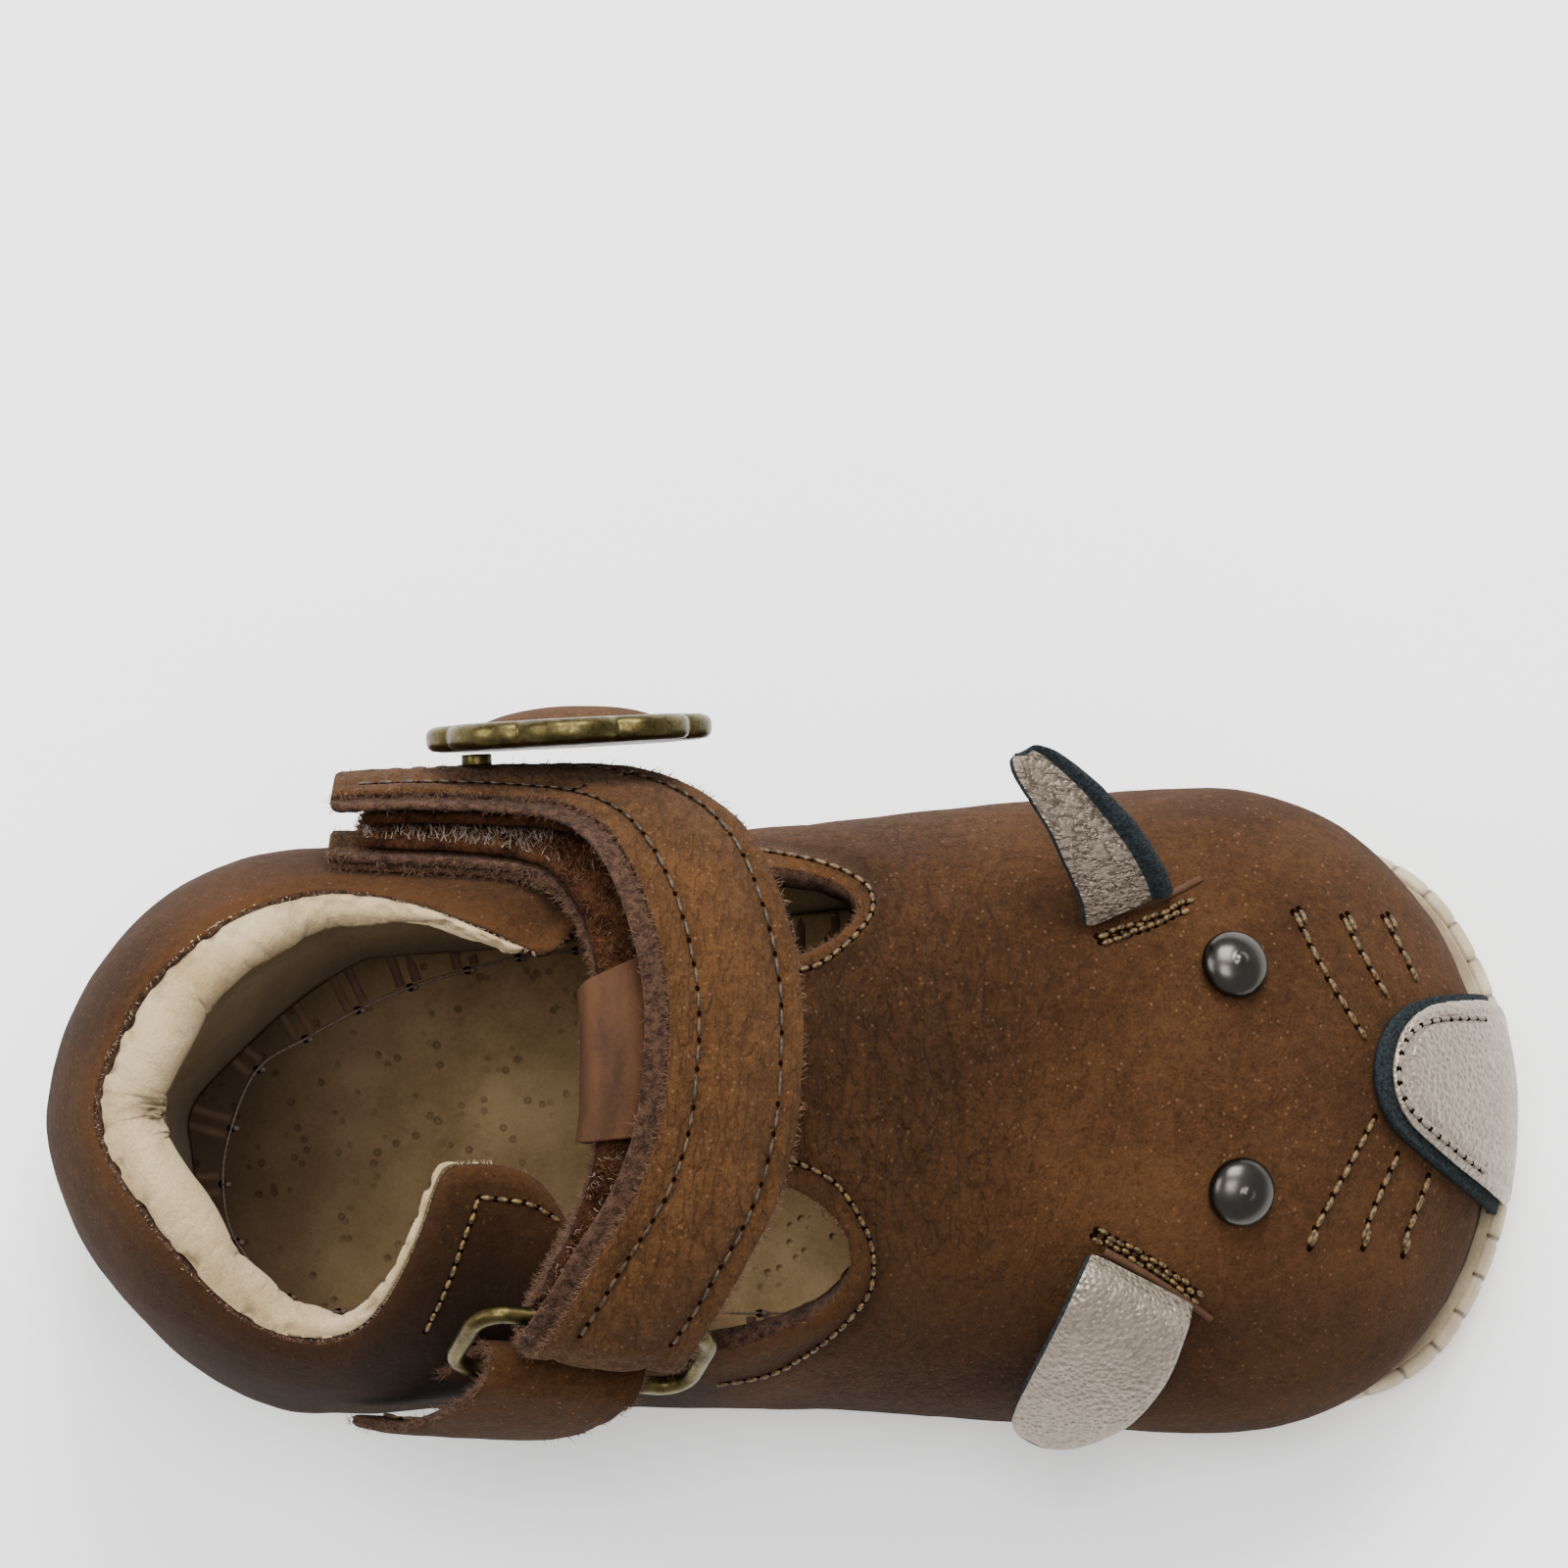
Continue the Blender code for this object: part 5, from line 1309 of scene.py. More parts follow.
upper_turn = turn_centre(STRAP_RUNS, (9, 13), STRAP_WIDTH, strap_height)
lower_turn = turn_centre(TAB_RUNS, (2, 6), TAB_WIDTH, tab_height)
axis = ((upper_turn[1] - upper_turn[0]).normalized() + (lower_turn[1] - lower_turn[0]).normalized()).normalized()
between = (lower_turn[0] + lower_turn[1] - upper_turn[0] - upper_turn[1]) / 2
slide = axis * between.dot(axis)
down_side = (between - slide).normalized()
ring_centre = (upper_turn[0] + upper_turn[1] + slide) / 2 + down_side * (RING_WIDTH - RING_WIRE) / 2
half_long = (RING_LENGTH - RING_WIRE) / 2 - RING_CORNER
half_wide = (RING_WIDTH - RING_WIRE) / 2 - RING_CORNER
brass = Finish("antique_brass", 0.34, Metallic=1.0)
tarnish = brass.cloud(1.6, 5.0, 0.65)
specks = brass.cloud(0.4, 3.0)
brass.dye(tarnish * 0.8 + specks * 0.2, 0.30, 0.75, linear(52, 45, 26), linear(94, 84, 50))
brass.roughness(brass.between(tarnish, 0.35, 0.65, 0.42, 0.32))
brass.relief(specks, 0.00001)
RING_TUBE, CORNER_TURNS = 20, 9
ring_made = bmesh.new()
bmesh.ops.create_circle(ring_made, cap_ends=False, radius=RING_WIRE / 2, segments=RING_TUBE)
ring_path = [ring_centre + axis * (a * half_long + RING_CORNER * math.cos(t))
             + down_side * (b * half_wide + RING_CORNER * math.sin(t))
             for index, (a, b) in enumerate(((1, 1), (-1, 1), (-1, -1), (1, -1)))
             for t in (math.pi / 2 * (index + step / CORNER_TURNS) for step in range(CORNER_TURNS + 1))]
ring_normal = axis.cross(down_side).normalized()
ring_rims = []
for index, point in enumerate(ring_path):
    ahead = ring_path[(index + 1) % len(ring_path)] - ring_path[index - 1]
    outward = ahead.normalized().cross(ring_normal)
    turned = Matrix((outward, ring_normal, ahead.normalized())).transposed().to_4x4()
    copy = bmesh.ops.duplicate(ring_made, geom=ring_made.edges[:RING_TUBE] + ring_made.verts[:RING_TUBE])["geom"]
    rim = [part for part in copy if isinstance(part, bmesh.types.BMVert)]
    bmesh.ops.transform(ring_made, matrix=Matrix.Translation(point) @ turned, verts=rim)
    ring_rims.append([part for part in copy if isinstance(part, bmesh.types.BMEdge)])
    ring_made.verts.ensure_lookup_table()
    ring_made.edges.ensure_lookup_table()
bmesh.ops.delete(ring_made, geom=ring_made.verts[:RING_TUBE], context="VERTS")
for index, rim in enumerate(ring_rims):
    bmesh.ops.bridge_loops(ring_made, edges=rim + ring_rims[(index + 1) % len(ring_rims)])
ring = piece("ring_link", ring_made, [brass])
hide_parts("ring")
print("ring faces:", len(ring.data.polygons), "tab in mm:", round(tab_ribbon.length * 1000, 1))

# %% [markdown]
# ## The sole
# The sole is thin beige rubber, and its CAD solid already has the right shape, so it only gets a finish.
# Round the toe the real rubber is a bumper of small pillows with cuts between them. That bumper is a
# rounded strip of the grid laid on the CAD rim, and its pillows swell between evenly spaced cuts, which are darkened
# with painted shade.

# %% Sole and toe bumper
rubber = Finish("beige_rubber", 0.62, Specular_IOR_Level=0.4)
rubber_clouds = rubber.cloud(8.0, 4.0, 0.6)
rubber_grit = rubber.cloud(0.35, 3.0, 0.6)
# The third brown is painted shade, laid only where a shade attribute is set: in the bumper's cuts.
rubber.dye(rubber_clouds * 0.8 + rubber_grit * 0.2, 0.35, 0.68, linear(158, 140, 112), linear(192, 176, 148),
           linear(56, 42, 28))
rubber.roughness(rubber.between(rubber_clouds, 0.3, 0.7, 0.5, 0.72))
rubber.relief(rubber_grit * 0.5 + rubber_clouds, 0.00008)
nodes["outsole"].data.materials.clear()
nodes["outsole"].data.materials.append(rubber.material)

BUMPER_FROM, BUMPER_TO = -0.150, 0.150
BUMPER_PITCH, BUMPER_STEPS = 0.0034, 600
bumper_line = [plan_point(column(BUMPER_FROM + (BUMPER_TO - BUMPER_FROM) * i / BUMPER_STEPS))
               for i in range(BUMPER_STEPS + 1)]
bumper_walk = [0.0]
for a, b in zip(bumper_line, bumper_line[1:]):
    bumper_walk.append(bumper_walk[-1] + (b - a).length)


# How far a place that lies so far along the bumper is from the nearest cut.
def from_cut(walked):
    return abs((walked / BUMPER_PITCH + 0.5) % 1.0 - 0.5) * BUMPER_PITCH


def bumper_cut(way):
    index = min(int(way * BUMPER_STEPS), BUMPER_STEPS - 1)
    share = way * BUMPER_STEPS - index
    return from_cut(bumper_walk[index] + (bumper_walk[index + 1] - bumper_walk[index]) * share)


def bumper_place(way, round_share):
    place = column(BUMPER_FROM + (BUMPER_TO - BUMPER_FROM) * way)
    grow = smooth(0.0, 0.16, way) * (1 - smooth(0.84, 1.0, way))
    turn = math.tau * round_share
    pillow = 0.35 + 0.65 * (1 - bell(bumper_cut(way), 0, 0.00028))
    tall = rim_height(place.along) * 0.5 + 0.0013 * grow + 0.0002
    wide = 0.00085 * grow + 0.00012
    reach = wide * math.cos(turn) * (0.75 + 0.25 * pillow)
    inset = sole_inset(place.along) + 0.00055 - reach - 0.0003 * grow
    point = plan_point(place, 1.0, inset)
    middle = ground(point.x) + SOLE_THICKNESS * 0.62 + rim_height(place.along) * 0.5
    return Vector((point.x, point.y, middle + tall * math.sin(turn) * (0.92 + 0.08 * pillow)))


bumper = piece("toe_bumper", grid(900, 18, bumper_place), [rubber])
# Painted shade in the cuts between the pillows.
cut_painted_shade = bumper.data.attributes.new("painted_shade", "FLOAT", "POINT")
bumper_tree = kdtree.KDTree(len(bumper_line))
for index, point in enumerate(bumper_line):
    bumper_tree.insert((point.x, point.y, 0), index)
bumper_tree.balance()
for vert, tint in zip(bumper.data.vertices, cut_painted_shade.data):
    walked = bumper_walk[bumper_tree.find((vert.co.x, vert.co.y, 0))[1]]
    tint.value = 0.9 * bell(from_cut(walked), 0, 0.00018)
print("toe bumper is", round(bumper_walk[-1] * 1000), "mm long")

# %% [markdown]
# ## The ornament
# A scalloped brass plate stands upright at the strap's closed end, with a dome of leather in its middle. From
# above only its edge shows. The plate is turned from a listed profile: a disc whose rim is scalloped and
# bevelled, with a raised lip round the leather.

# %% Ornament
ORNAMENT_WIDTH, ORNAMENT_THICKNESS, ORNAMENT_PETALS, PETAL_DEPTH = 0.0245, 0.0022, 8, 0.0011
INLAY_WIDTH, INLAY_DEPTH, INLAY_CROWN, POST_WIDTH, POST_LENGTH = 0.0150, 0.0009, 0.0012, 0.0026, 0.0010
ORNAMENT_AHEAD, ORNAMENT_TURN, ORNAMENT_LEAN = 0.0080, 3.0, 5.0


def ornament_place():
    before, after = [ribbon_row(run, STRAP_WIDTH, strap_height, 2) for run in STRAP_RUNS[-3:-1]]
    turn, lean = math.radians(ORNAMENT_TURN), math.radians(ORNAMENT_LEAN)
    along = Vector((math.cos(turn), math.sin(turn), 0))
    outward = Vector((-along.y, along.x, 0)) * math.cos(lean) + Vector((0, 0, math.sin(lean)))
    stand = STRAP_THICKNESS / 2 + 3 * GAP + POST_LENGTH
    centre = (before[1] + after[1]) / 2 + along * ORNAMENT_AHEAD + outward * stand
    return Matrix.Translation(centre) @ Matrix((along, outward.cross(along), outward)).transposed().to_4x4()


# A point of a turned piece, from its axis outwards.
def spoke(radius, angle, height):
    return Vector((radius * math.cos(angle), radius * math.sin(angle), height))


standing = ornament_place()
half = ORNAMENT_WIDTH / 2
inlay_half = INLAY_WIDTH / 2
thick = ORNAMENT_THICKNESS
PLATE_PROFILE = [(0.0, 0.0), (0.90, 0.0), (0.965, 0.06), (0.99, 0.18), (1.0, 0.34), (1.0, 0.66), (0.99, 0.82),
                 (0.965, 0.94), (0.93, 1.0), (0.90, 1.0), (0.86, 0.90), (0.78, 0.86), (0.70, 0.88), (0.665, 1.0),
                 (0.645, 1.0), (0.625, 0.92), (0.620, 0.59), (0.0, 0.59)]


def plate_place(way, round_share):
    share, level = PLATE_PROFILE[round(round_share * (len(PLATE_PROFILE) - 1))]
    angle = math.tau * way
    petal = PETAL_DEPTH * (1 - abs(math.cos(angle * ORNAMENT_PETALS / 2))) ** 1.5 * smooth(0.66, 0.92, share)
    return standing @ spoke(half * share - petal, angle, thick * level)


plate = piece("scalloped_plate", grid(256, len(PLATE_PROFILE) - 1, plate_place), [brass])
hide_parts("ornament_plate")


def inlay_place(way, round_share):
    angle = math.tau * way
    if round_share < 0.25:
        return standing @ spoke(inlay_half * 4 * round_share, angle, thick - INLAY_DEPTH + GAP)
    share = (1 - round_share) / 0.75
    level = thick + INLAY_CROWN * (1 - share**2.6)
    point = standing @ spoke(inlay_half * share, angle, level)
    return point + standing.to_3x3() @ Vector((0, 0, 0.00008 * hills(point, 0.003, 7.0) * (1 - share)))


inlay = piece("leather_inlay", grid(96, 24, inlay_place), [strap_nubuck])
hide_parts("ornament_inlay")
post_made = bmesh.new()
post_middle = Matrix.Translation((-ORNAMENT_AHEAD, 0, -GAP - POST_LENGTH / 2))
bmesh.ops.create_cone(post_made, cap_ends=True, segments=32, radius1=POST_WIDTH / 2, radius2=POST_WIDTH / 2,
                      depth=POST_LENGTH, matrix=standing @ post_middle)
post_rims = [edge for edge in post_made.edges if edge.calc_face_angle(0) > 1.0]
bmesh.ops.bevel(post_made, geom=post_rims, offset=0.00015, segments=3, affect="EDGES", profile=0.5, material=-1)
post = piece("ornament_rivet", post_made, [brass])
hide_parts("ornament_post")
print("ornament stands", round((standing @ Vector((0, half, 0))).z * 1000, 1), "mm high")

# %% [markdown]
# ## Eyes
# Each eye is a domed rivet of grey metal with a rolled edge and a small raised centre, sunk a little into
# the nubuck. A disc profile turned round the last's own normal makes it.

# %% Eyes
EYE_WIDTH, EYE_HEIGHT, EYE_SUNK, FACE_GAP = 0.0060, 0.0023, 0.0003, 0.0005
EYES = {"eye_lateral": Edge(0.802, 0.378), "eye_medial": Edge(0.806, -0.303)}
EYE_PROFILE = [(0.0, 0.0), (0.80, 0.0), (0.95, 0.05), (1.0, 0.18), (0.985, 0.34), (0.93, 0.50), (0.85, 0.62),
               (0.74, 0.73), (0.60, 0.83), (0.45, 0.90), (0.30, 0.945), (0.17, 0.965), (0.15, 1.0), (0.0, 1.0)]
gunmetal = Finish("gunmetal", 0.26, Metallic=1.0)
gunmetal.colour(gunmetal.blend(gunmetal.cloud(2.2, 3.0), linear(50, 48, 46), linear(76, 73, 69)))
gunmetal.roughness(gunmetal.between(gunmetal.cloud(3.0, 2.0), 0.3, 0.7, 0.24, 0.32))
for name, edge in EYES.items():
    spot = edge_point(edge)
    eye_foot, eye_normal = on_last(spot.x, spot.y, FACE_GAP - EYE_SUNK)
    turned = Matrix.Translation(eye_foot) @ eye_normal.to_track_quat("Z", "Y").to_matrix().to_4x4()

    def eye_place(way, round_share):
        share, level = EYE_PROFILE[round(round_share * (len(EYE_PROFILE) - 1))]
        return turned @ spoke(share * EYE_WIDTH / 2, math.tau * way, level * EYE_HEIGHT)

    rivet = piece(name + "_rivet", grid(72, len(EYE_PROFILE) - 1, eye_place), [gunmetal])
    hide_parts(name)
print("eyes set at", [round(v * 1000, 1) for v in edge_point(EYES["eye_lateral"])][:2])

# %% [markdown]
# ## Ears
# Each ear is a leaf of silvery leather, doubled, pushed through a slot in the vamp. The lateral one curls up
# and back, the medial one hangs down the side. Their rows are the CAD's own, read on a smooth curve. The
# grain side is wrinkled and shines softly, and the flesh side and edges are slate-blue suede.

# %% Ears
EarRow = namedtuple("EarRow", "reach rear front rise")
EAR_WIDTH, EAR_LENGTH, EAR_THICKNESS, EAR_GAP = 0.0113, 0.0190, 0.0013, 0.0005
EARS = {
    "ear_lateral": (Edge(0.708, 0.530), Edge(0.783, 0.675), [
        EarRow(0.00, -0.10, 0.66, 0.00), EarRow(0.10, -0.06, 0.66, 0.12), EarRow(0.28, -0.06, 0.60, 0.30),
        EarRow(0.50, -0.08, 0.46, 0.44), EarRow(0.68, -0.12, 0.30, 0.52), EarRow(0.76, -0.10, 0.18, 0.54),
        EarRow(0.79, -0.03, 0.10, 0.54),
    ]),
    "ear_medial": (Edge(0.712, -0.535), Edge(0.785, -0.680), [
        EarRow(0.00, -0.12, 0.78, 0.00), EarRow(0.12, -0.12, 0.82, 0.08), EarRow(0.34, -0.12, 0.84, -0.02),
        EarRow(0.58, -0.14, 0.72, -0.26), EarRow(0.74, -0.14, 0.46, -0.50), EarRow(0.79, -0.10, 0.30, -0.58),
        EarRow(0.82, -0.02, 0.18, -0.62),
    ]),
}


def silver_leather(name, pale, deep, wrinkle, scales, turn=(0, 0, 0)):
    made = Finish(name, 0.36, Metallic=0.68)
    veins = made.squash(scales, turn)
    wrinkles = made.lines(1.5, 0.10, veins) * 0.5 + made.lines(0.75, 0.14, veins) * 0.5
    pebbles = made.dots(0.50)
    clouds = made.cloud(5.0, 3.0)
    made.dye(wrinkles * wrinkle + clouds * 0.4 + pebbles * 0.40 + (1 - wrinkle) * 0.55, 0.38, 1.15, deep, pale)
    made.roughness(made.between(wrinkles + pebbles * 0.3, 0.3, 0.9, 0.30, 0.50))
    made.relief(wrinkles * wrinkle + pebbles * 0.80 + clouds * 0.1, 0.00022)
    return made


ear_silver = silver_leather("ear_silver", linear(138, 124, 110), linear(78, 67, 57), 0.80, (0.6, 1.8, 1.0), (0, 0, 0.6))
hanging_silver = silver_leather("hanging_silver", linear(142, 130, 116), linear(100, 90, 80), 0.15, (1.2, 0.6, 1.0))
nose_silver = silver_leather("nose_silver", linear(152, 140, 126), linear(110, 98, 86), 0.15, (1.0, 1.0, 1.0))
slate_suede = Finish("slate_suede", 0.97, Sheen_Weight=0.02, Specular_IOR_Level=0.06)
slate_down = slate_suede.cloud(0.30, 5.0, 0.75)
slate_suede.dye(slate_down, 0.36, 0.66, linear(16, 20, 22), linear(46, 53, 56))
slate_suede.relief(slate_down, 0.00025)
EAR_FACE, EAR_SUEDE = 0, 1
for name, (rear, front, table) in EARS.items():
    start, stop = edge_point(rear), edge_point(front)
    slot = (stop - start).normalized()
    away = Vector((-slot.y, slot.x, 0)) * (1 if start.y > 0 else -1)
    lifts = []
    for k in range(7):
        line = []
        for row in table:
            share = row.rear + (row.front - row.rear) * k / 6
            base = start + slot * (share * EAR_WIDTH)
            point = base + away * (row.reach * EAR_LENGTH)
            point.z = dome_over(base.x, base.y) + EAR_THICKNESS / 2 + EAR_GAP + row.rise * EAR_LENGTH
            line.append(point)
        lifts.append(smooth_line(line, 0.0002))
    lateral = name == "ear_lateral"
    curl = 1.5 if lateral else -0.5
    grain_side = Vector((0, -0.6, 0.8)) if lateral else Vector((0, -0.8, 0.6))

    def ear_middle(way, share):
        column_index = min(int(share * 6), 5)
        t = share * 6 - column_index
        ends = []
        for line in (lifts[column_index], lifts[column_index + 1]):
            index = way * (len(line) - 1)
            k = min(int(index), len(line) - 2)
            ends.append(line[k].lerp(line[k + 1], index - k))
        return ends[0].lerp(ends[1], t)

    def ear_place(way, round_share):
        top = round_share <= 0.5
        share = 2 * round_share if top else 2 - 2 * round_share
        middle = ear_middle(way, share)
        across = ear_middle(way, min(share + 0.05, 1.0)) - ear_middle(way, max(share - 0.05, 0.0))
        ahead = ear_middle(min(way + 0.02, 1.0), share) - ear_middle(max(way - 0.02, 0.0), share)
        side = ahead.cross(across).normalized()
        side = -side if side.dot(grain_side) < 0 else side
        edge_ease = math.sqrt(max(0.0, 1 - abs(2 * share - 1) ** 8))
        edge_ease *= math.sqrt(max(0.0, 1 - max(0.0, (way - 0.9) / 0.1) ** 4))
        cup = -curl * math.sin(math.pi * share) * smooth(0.0, 0.7, way)
        squashed = Vector((middle.x, middle.y * 2.2, middle.z))
        crimp = 0.24 * hills(middle, 0.0034, 3.0) + 0.12 * hills(squashed, 0.0018, 8.0)
        crimp *= 1.0 if lateral else 0.35
        flesh = 1 + 0.7 * smooth(0.70, 0.86, share) * lateral
        height = (EAR_THICKNESS / 2 * edge_ease * flesh) * (1 if top else -1)
        return middle + side * (height + (cup * 0.45 + crimp) * MM * smooth(0.0, 0.15, way))

    def ear_paint(way, round_share):
        top = round_share <= 0.5
        share = 2 * round_share if top else 2 - 2 * round_share
        rim = share < 0.03 or share > (0.72 if lateral else 0.97) or way > 0.97
        return EAR_FACE if top and not rim else EAR_SUEDE

    leaf_finish = ear_silver if lateral else hanging_silver
    ear = piece(name + "_leaf", grid(110, 96, ear_place, ear_paint), [leaf_finish, slate_suede])
    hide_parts(name)
print("ears:", ", ".join(EARS))

# %% [markdown]
# ## The nose patch
# The nose is one patch of the same leather with a thick slate edge, sewn on by a light thread. It is cut
# from the grid of the last with the outline measured in plan, then thickened outwards with Solidify, whose
# rim is slate suede too. The silver leather over it is cut a little smaller, so the suede shows all round.

# %% Nose patch
NOSE_THICKNESS, SUEDE_SHARE, LEATHER_SHARE = 0.0015, 0.62, 0.38
NOSE_RIM = 0.00095
NOSE = [
    Edge(0.908, 0.230), Edge(0.928, 0.305), Edge(0.958, 0.330), Edge(0.978, 0.340), Edge(1.024, 0.330),
    Edge(1.024, -0.330), Edge(0.988, -0.330), Edge(0.965, -0.270), Edge(0.933, -0.175), Edge(0.910, -0.090),
    Edge(0.900, 0.010), Edge(0.899, 0.110),
]
nose_outline = Outline(round_corners([edge_point(edge) for edge in NOSE], 3))
nose_floor = ground(world_x(1.0)) + SOLE_THICKNESS + TOE_RIM_HEIGHT + 2 * GAP
NOSE_TURN = 0.080


def nose_surface(way, up):
    return upper_place(-NOSE_TURN + 2 * NOSE_TURN * way, 0.05 + 0.72 * up)


def cut_nose(margin):
    made = grid(150, 130, nose_surface)
    face_up(made)
    for vert, move in {v: v.normal * FACE_GAP for v in made.verts}.items():
        vert.co += move
    trim(made, lambda point: min(-nose_outline.distance(point) - margin, point.z - nose_floor - margin * 0.5))
    made.normal_update()
    return made


nose_base = cut_nose(0.0)
base_piece = piece("nose_suede", nose_base, [slate_suede], recalculate=False)
thicken(base_piece, NOSE_THICKNESS * SUEDE_SHARE, 1)
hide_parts("nose_patch")
nose_made = cut_nose(NOSE_RIM)
for vert, move in {v: v.normal for v in nose_made.verts}.items():
    inside = min(-nose_outline.distance(vert.co), vert.co.z - nose_floor)
    seam = bell(inside, 0.0020, 0.00035)
    swell = smooth(0.0009, 0.0016, inside) * 0.35 - 0.22 * seam + 0.06 * hills(vert.co, 0.004, 4.0)
    vert.co += move * (NOSE_THICKNESS * SUEDE_SHARE + 0.00008 + swell * MM)
nose = piece("nose_leather", nose_made, [nose_silver], recalculate=False)
thicken(nose, NOSE_THICKNESS * LEATHER_SHARE, 1)
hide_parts("nose_patch")
print("nose faces:", len(nose.data.polygons))

# %% [markdown]
# ## Stitches
# A sewn row is thread that dips into the leather at every hole. Each stitch is a small capsule of thread
# between two holes, each hole a flat near-black disc of painted shade. Its place comes from a line in plan,
# dropped on to the upper by a ray, so that it lies on the creased leather and not on the ideal last. The thread has a
# gold-olive glint.

# %% Thread and holes
gold_thread = Finish("gold_thread", 0.5, Specular_IOR_Level=0.4, Metallic=0.10)
gold_thread.dye(gold_thread.cloud(0.35, 3.0), 0.40, 0.60, linear(40, 29, 12), linear(104, 80, 41))
dark_thread = Finish("dark_thread", 0.5, Specular_IOR_Level=0.4)
dark_thread.dye(dark_thread.cloud(0.4, 3.0), 0.40, 0.60, linear(18, 13, 7), linear(64, 48, 27))
pale_thread = two_tone("pale_thread", 0.7, 0.4, 3.0, linear(74, 64, 56), linear(138, 126, 114))
sole_thread = two_tone("insole_thread", 0.6, 0.5, 3.0, linear(48, 32, 22), linear(120, 100, 84))
# The holes' near-black finish is painted shade, for the shade inside each stitch hole.
hole_painted_shade = two_tone("stitch_hole_painted_shade", 1.0, 0.3, 3.0, linear(8, 5, 3), linear(20, 12, 7), Specular_IOR_Level=0.0)
bpy.context.view_layer.update()
upper_tree = BVHTree.FromPolygons([v.co for v in upper.data.vertices], [list(p.vertices) for p in upper.data.polygons])
nose_tree = BVHTree.FromObject(nose, bpy.context.evaluated_depsgraph_get())
insole_tree = BVHTree.FromObject(insole, bpy.context.evaluated_depsgraph_get())


ABOVE_ALL = 0.09
LONGEST_STITCH = 0.0045


def drop(tree, x, y):
    hit, normal, _, _ = tree.ray_cast(Vector((x, y, ABOVE_ALL)), Vector((0, 0, -1)))
    if hit is None:
        return None
    return hit, normal if normal.z > 0 else -normal


def lay(tree, points, pitch):
    line = smooth_line(in_metres(points), 0.0002)
    walked, target, found, previous = 0.0, 0.0, [], None
    for point in line:
        hit = drop(tree, point.x, point.y)
        if hit is None:
            previous = None
            continue
        if previous is not None:
            walked += (hit[0] - previous).length
        previous = hit[0]
        if walked >= target:
            found.append(hit)
            target += pitch
    return found


# One capsule for each pair of neighbours and one hole for each point, built in small batches because an
# operator slows down as its mesh grows.
def sew(name, rows, thread, thickness=0.00042, gap=0.14, wander=0.00005):
    thread_mesh, hole_mesh = bpy.data.meshes.new(name), bpy.data.meshes.new(name + "_holes")
    for mesh, finish, make in ((thread_mesh, thread, "thread"), (hole_mesh, hole_painted_shade, "hole")):
        whole = bmesh.new()
        for row in rows:
            batch = bmesh.new()
            for (a, side_a), (b, side_b) in zip(row, row[1:]):
                if (b - a).length > LONGEST_STITCH:
                    continue
                side = (side_a + side_b).normalized()
                ahead = (b - a).normalized()
                across = side.cross(ahead).normalized()
                frame_of = Matrix((ahead, across, ahead.cross(across))).transposed().to_4x4()
                if make == "thread":
                    jitter = across * dice.uniform(-wander, wander) + side * thickness * 0.30
                    size = Matrix.Diagonal(((b - a).length * (1 - gap) / 2, thickness / 2, thickness / 2, 1))
                    bmesh.ops.create_uvsphere(batch, u_segments=8, v_segments=6, radius=1,
                                              matrix=Matrix.Translation((a + b) / 2 + jitter) @ frame_of @ size
                                              @ Matrix.Rotation(math.pi / 2, 4, "Y"))
                else:
                    # A hole is a flat dark disc: painted shade for the inside of the hole.
                    size = Matrix.Diagonal((thickness * 0.80, thickness * 0.70, thickness * 0.25, 1))
                    bmesh.ops.create_icosphere(batch, subdivisions=1, radius=1,
                                               matrix=Matrix.Translation(a + side * 0.00003) @ frame_of @ size)
            scratch = bpy.data.meshes.new("batch")
            batch.to_mesh(scratch)
            batch.free()
            whole.from_mesh(scratch)
            bpy.data.meshes.remove(scratch)
        whole.to_mesh(mesh)
        whole.free()
        mesh.materials.append(finish.material)
        mesh.shade_smooth()
        item = linked(mesh.name, mesh)
        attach(item, "root")
    print(name, "stitches:", sum(len(row) - 1 for row in rows))


# %% [markdown]
# ## The upper's stitches
# Each row was read from the photograph as a few points, in millimetres along the shoe and across it. Rows
# go round the cut-outs and along the quarters. Each whisker has a second, shorter thread at its tip, and
# each ear is held by a double row.

# %% Sew the upper
STITCH_PITCH, WHISKER_PITCH, EAR_PITCH, THICK_THREAD = 0.00125, 0.0016, 0.0009, 0.00052
CUT_OUTS = [
    [(36.0, 22.3), (39.0, 22.2), (41.4, 21.8), (44.3, 21.1), (47.0, 19.9), (48.4, 18.4), (48.4, 16.5), (47.2, 14.7),
     (45.2, 12.7), (42.5, 11.2), (38.0, 10.6), (32.0, 10.4)],
    [(33.0, -3.6), (38.0, -4.0), (42.0, -5.3), (45.2, -6.9), (47.1, -9.4), (48.4, -12.2), (48.4, -15.3), (47.1, -17.4),
     (44.5, -19.8), (40.0, -22.3), (35.0, -23.2)],
]
QUARTERS = [
    [(10.5, 20.6), (14.2, 20.0), (17.5, 19.0), (20.9, 17.6), (24.0, 16.4)],
    [(10.5, -19.7), (12.1, -16.8), (13.4, -13.7), (15.2, -8.8)],
    [(15.2, -8.8), (17.5, -9.0), (19.8, -9.4), (22.5, -11.0)],
]
WHISKERS = [
    [(84.9, 17.6), (87.9, 11.7), (91.4, 6.3)], [(89.2, 17.4), (91.4, 13.3), (93.6, 9.6)],
    [(92.9, 17.7), (94.7, 14.4), (96.2, 11.0)], [(91.9, 0.0), (88.6, -6.1), (85.6, -11.7)],
    [(93.9, -3.1), (92.1, -7.1), (90.4, -11.3)], [(96.7, -4.8), (95.4, -8.2), (93.9, -11.8)],
]
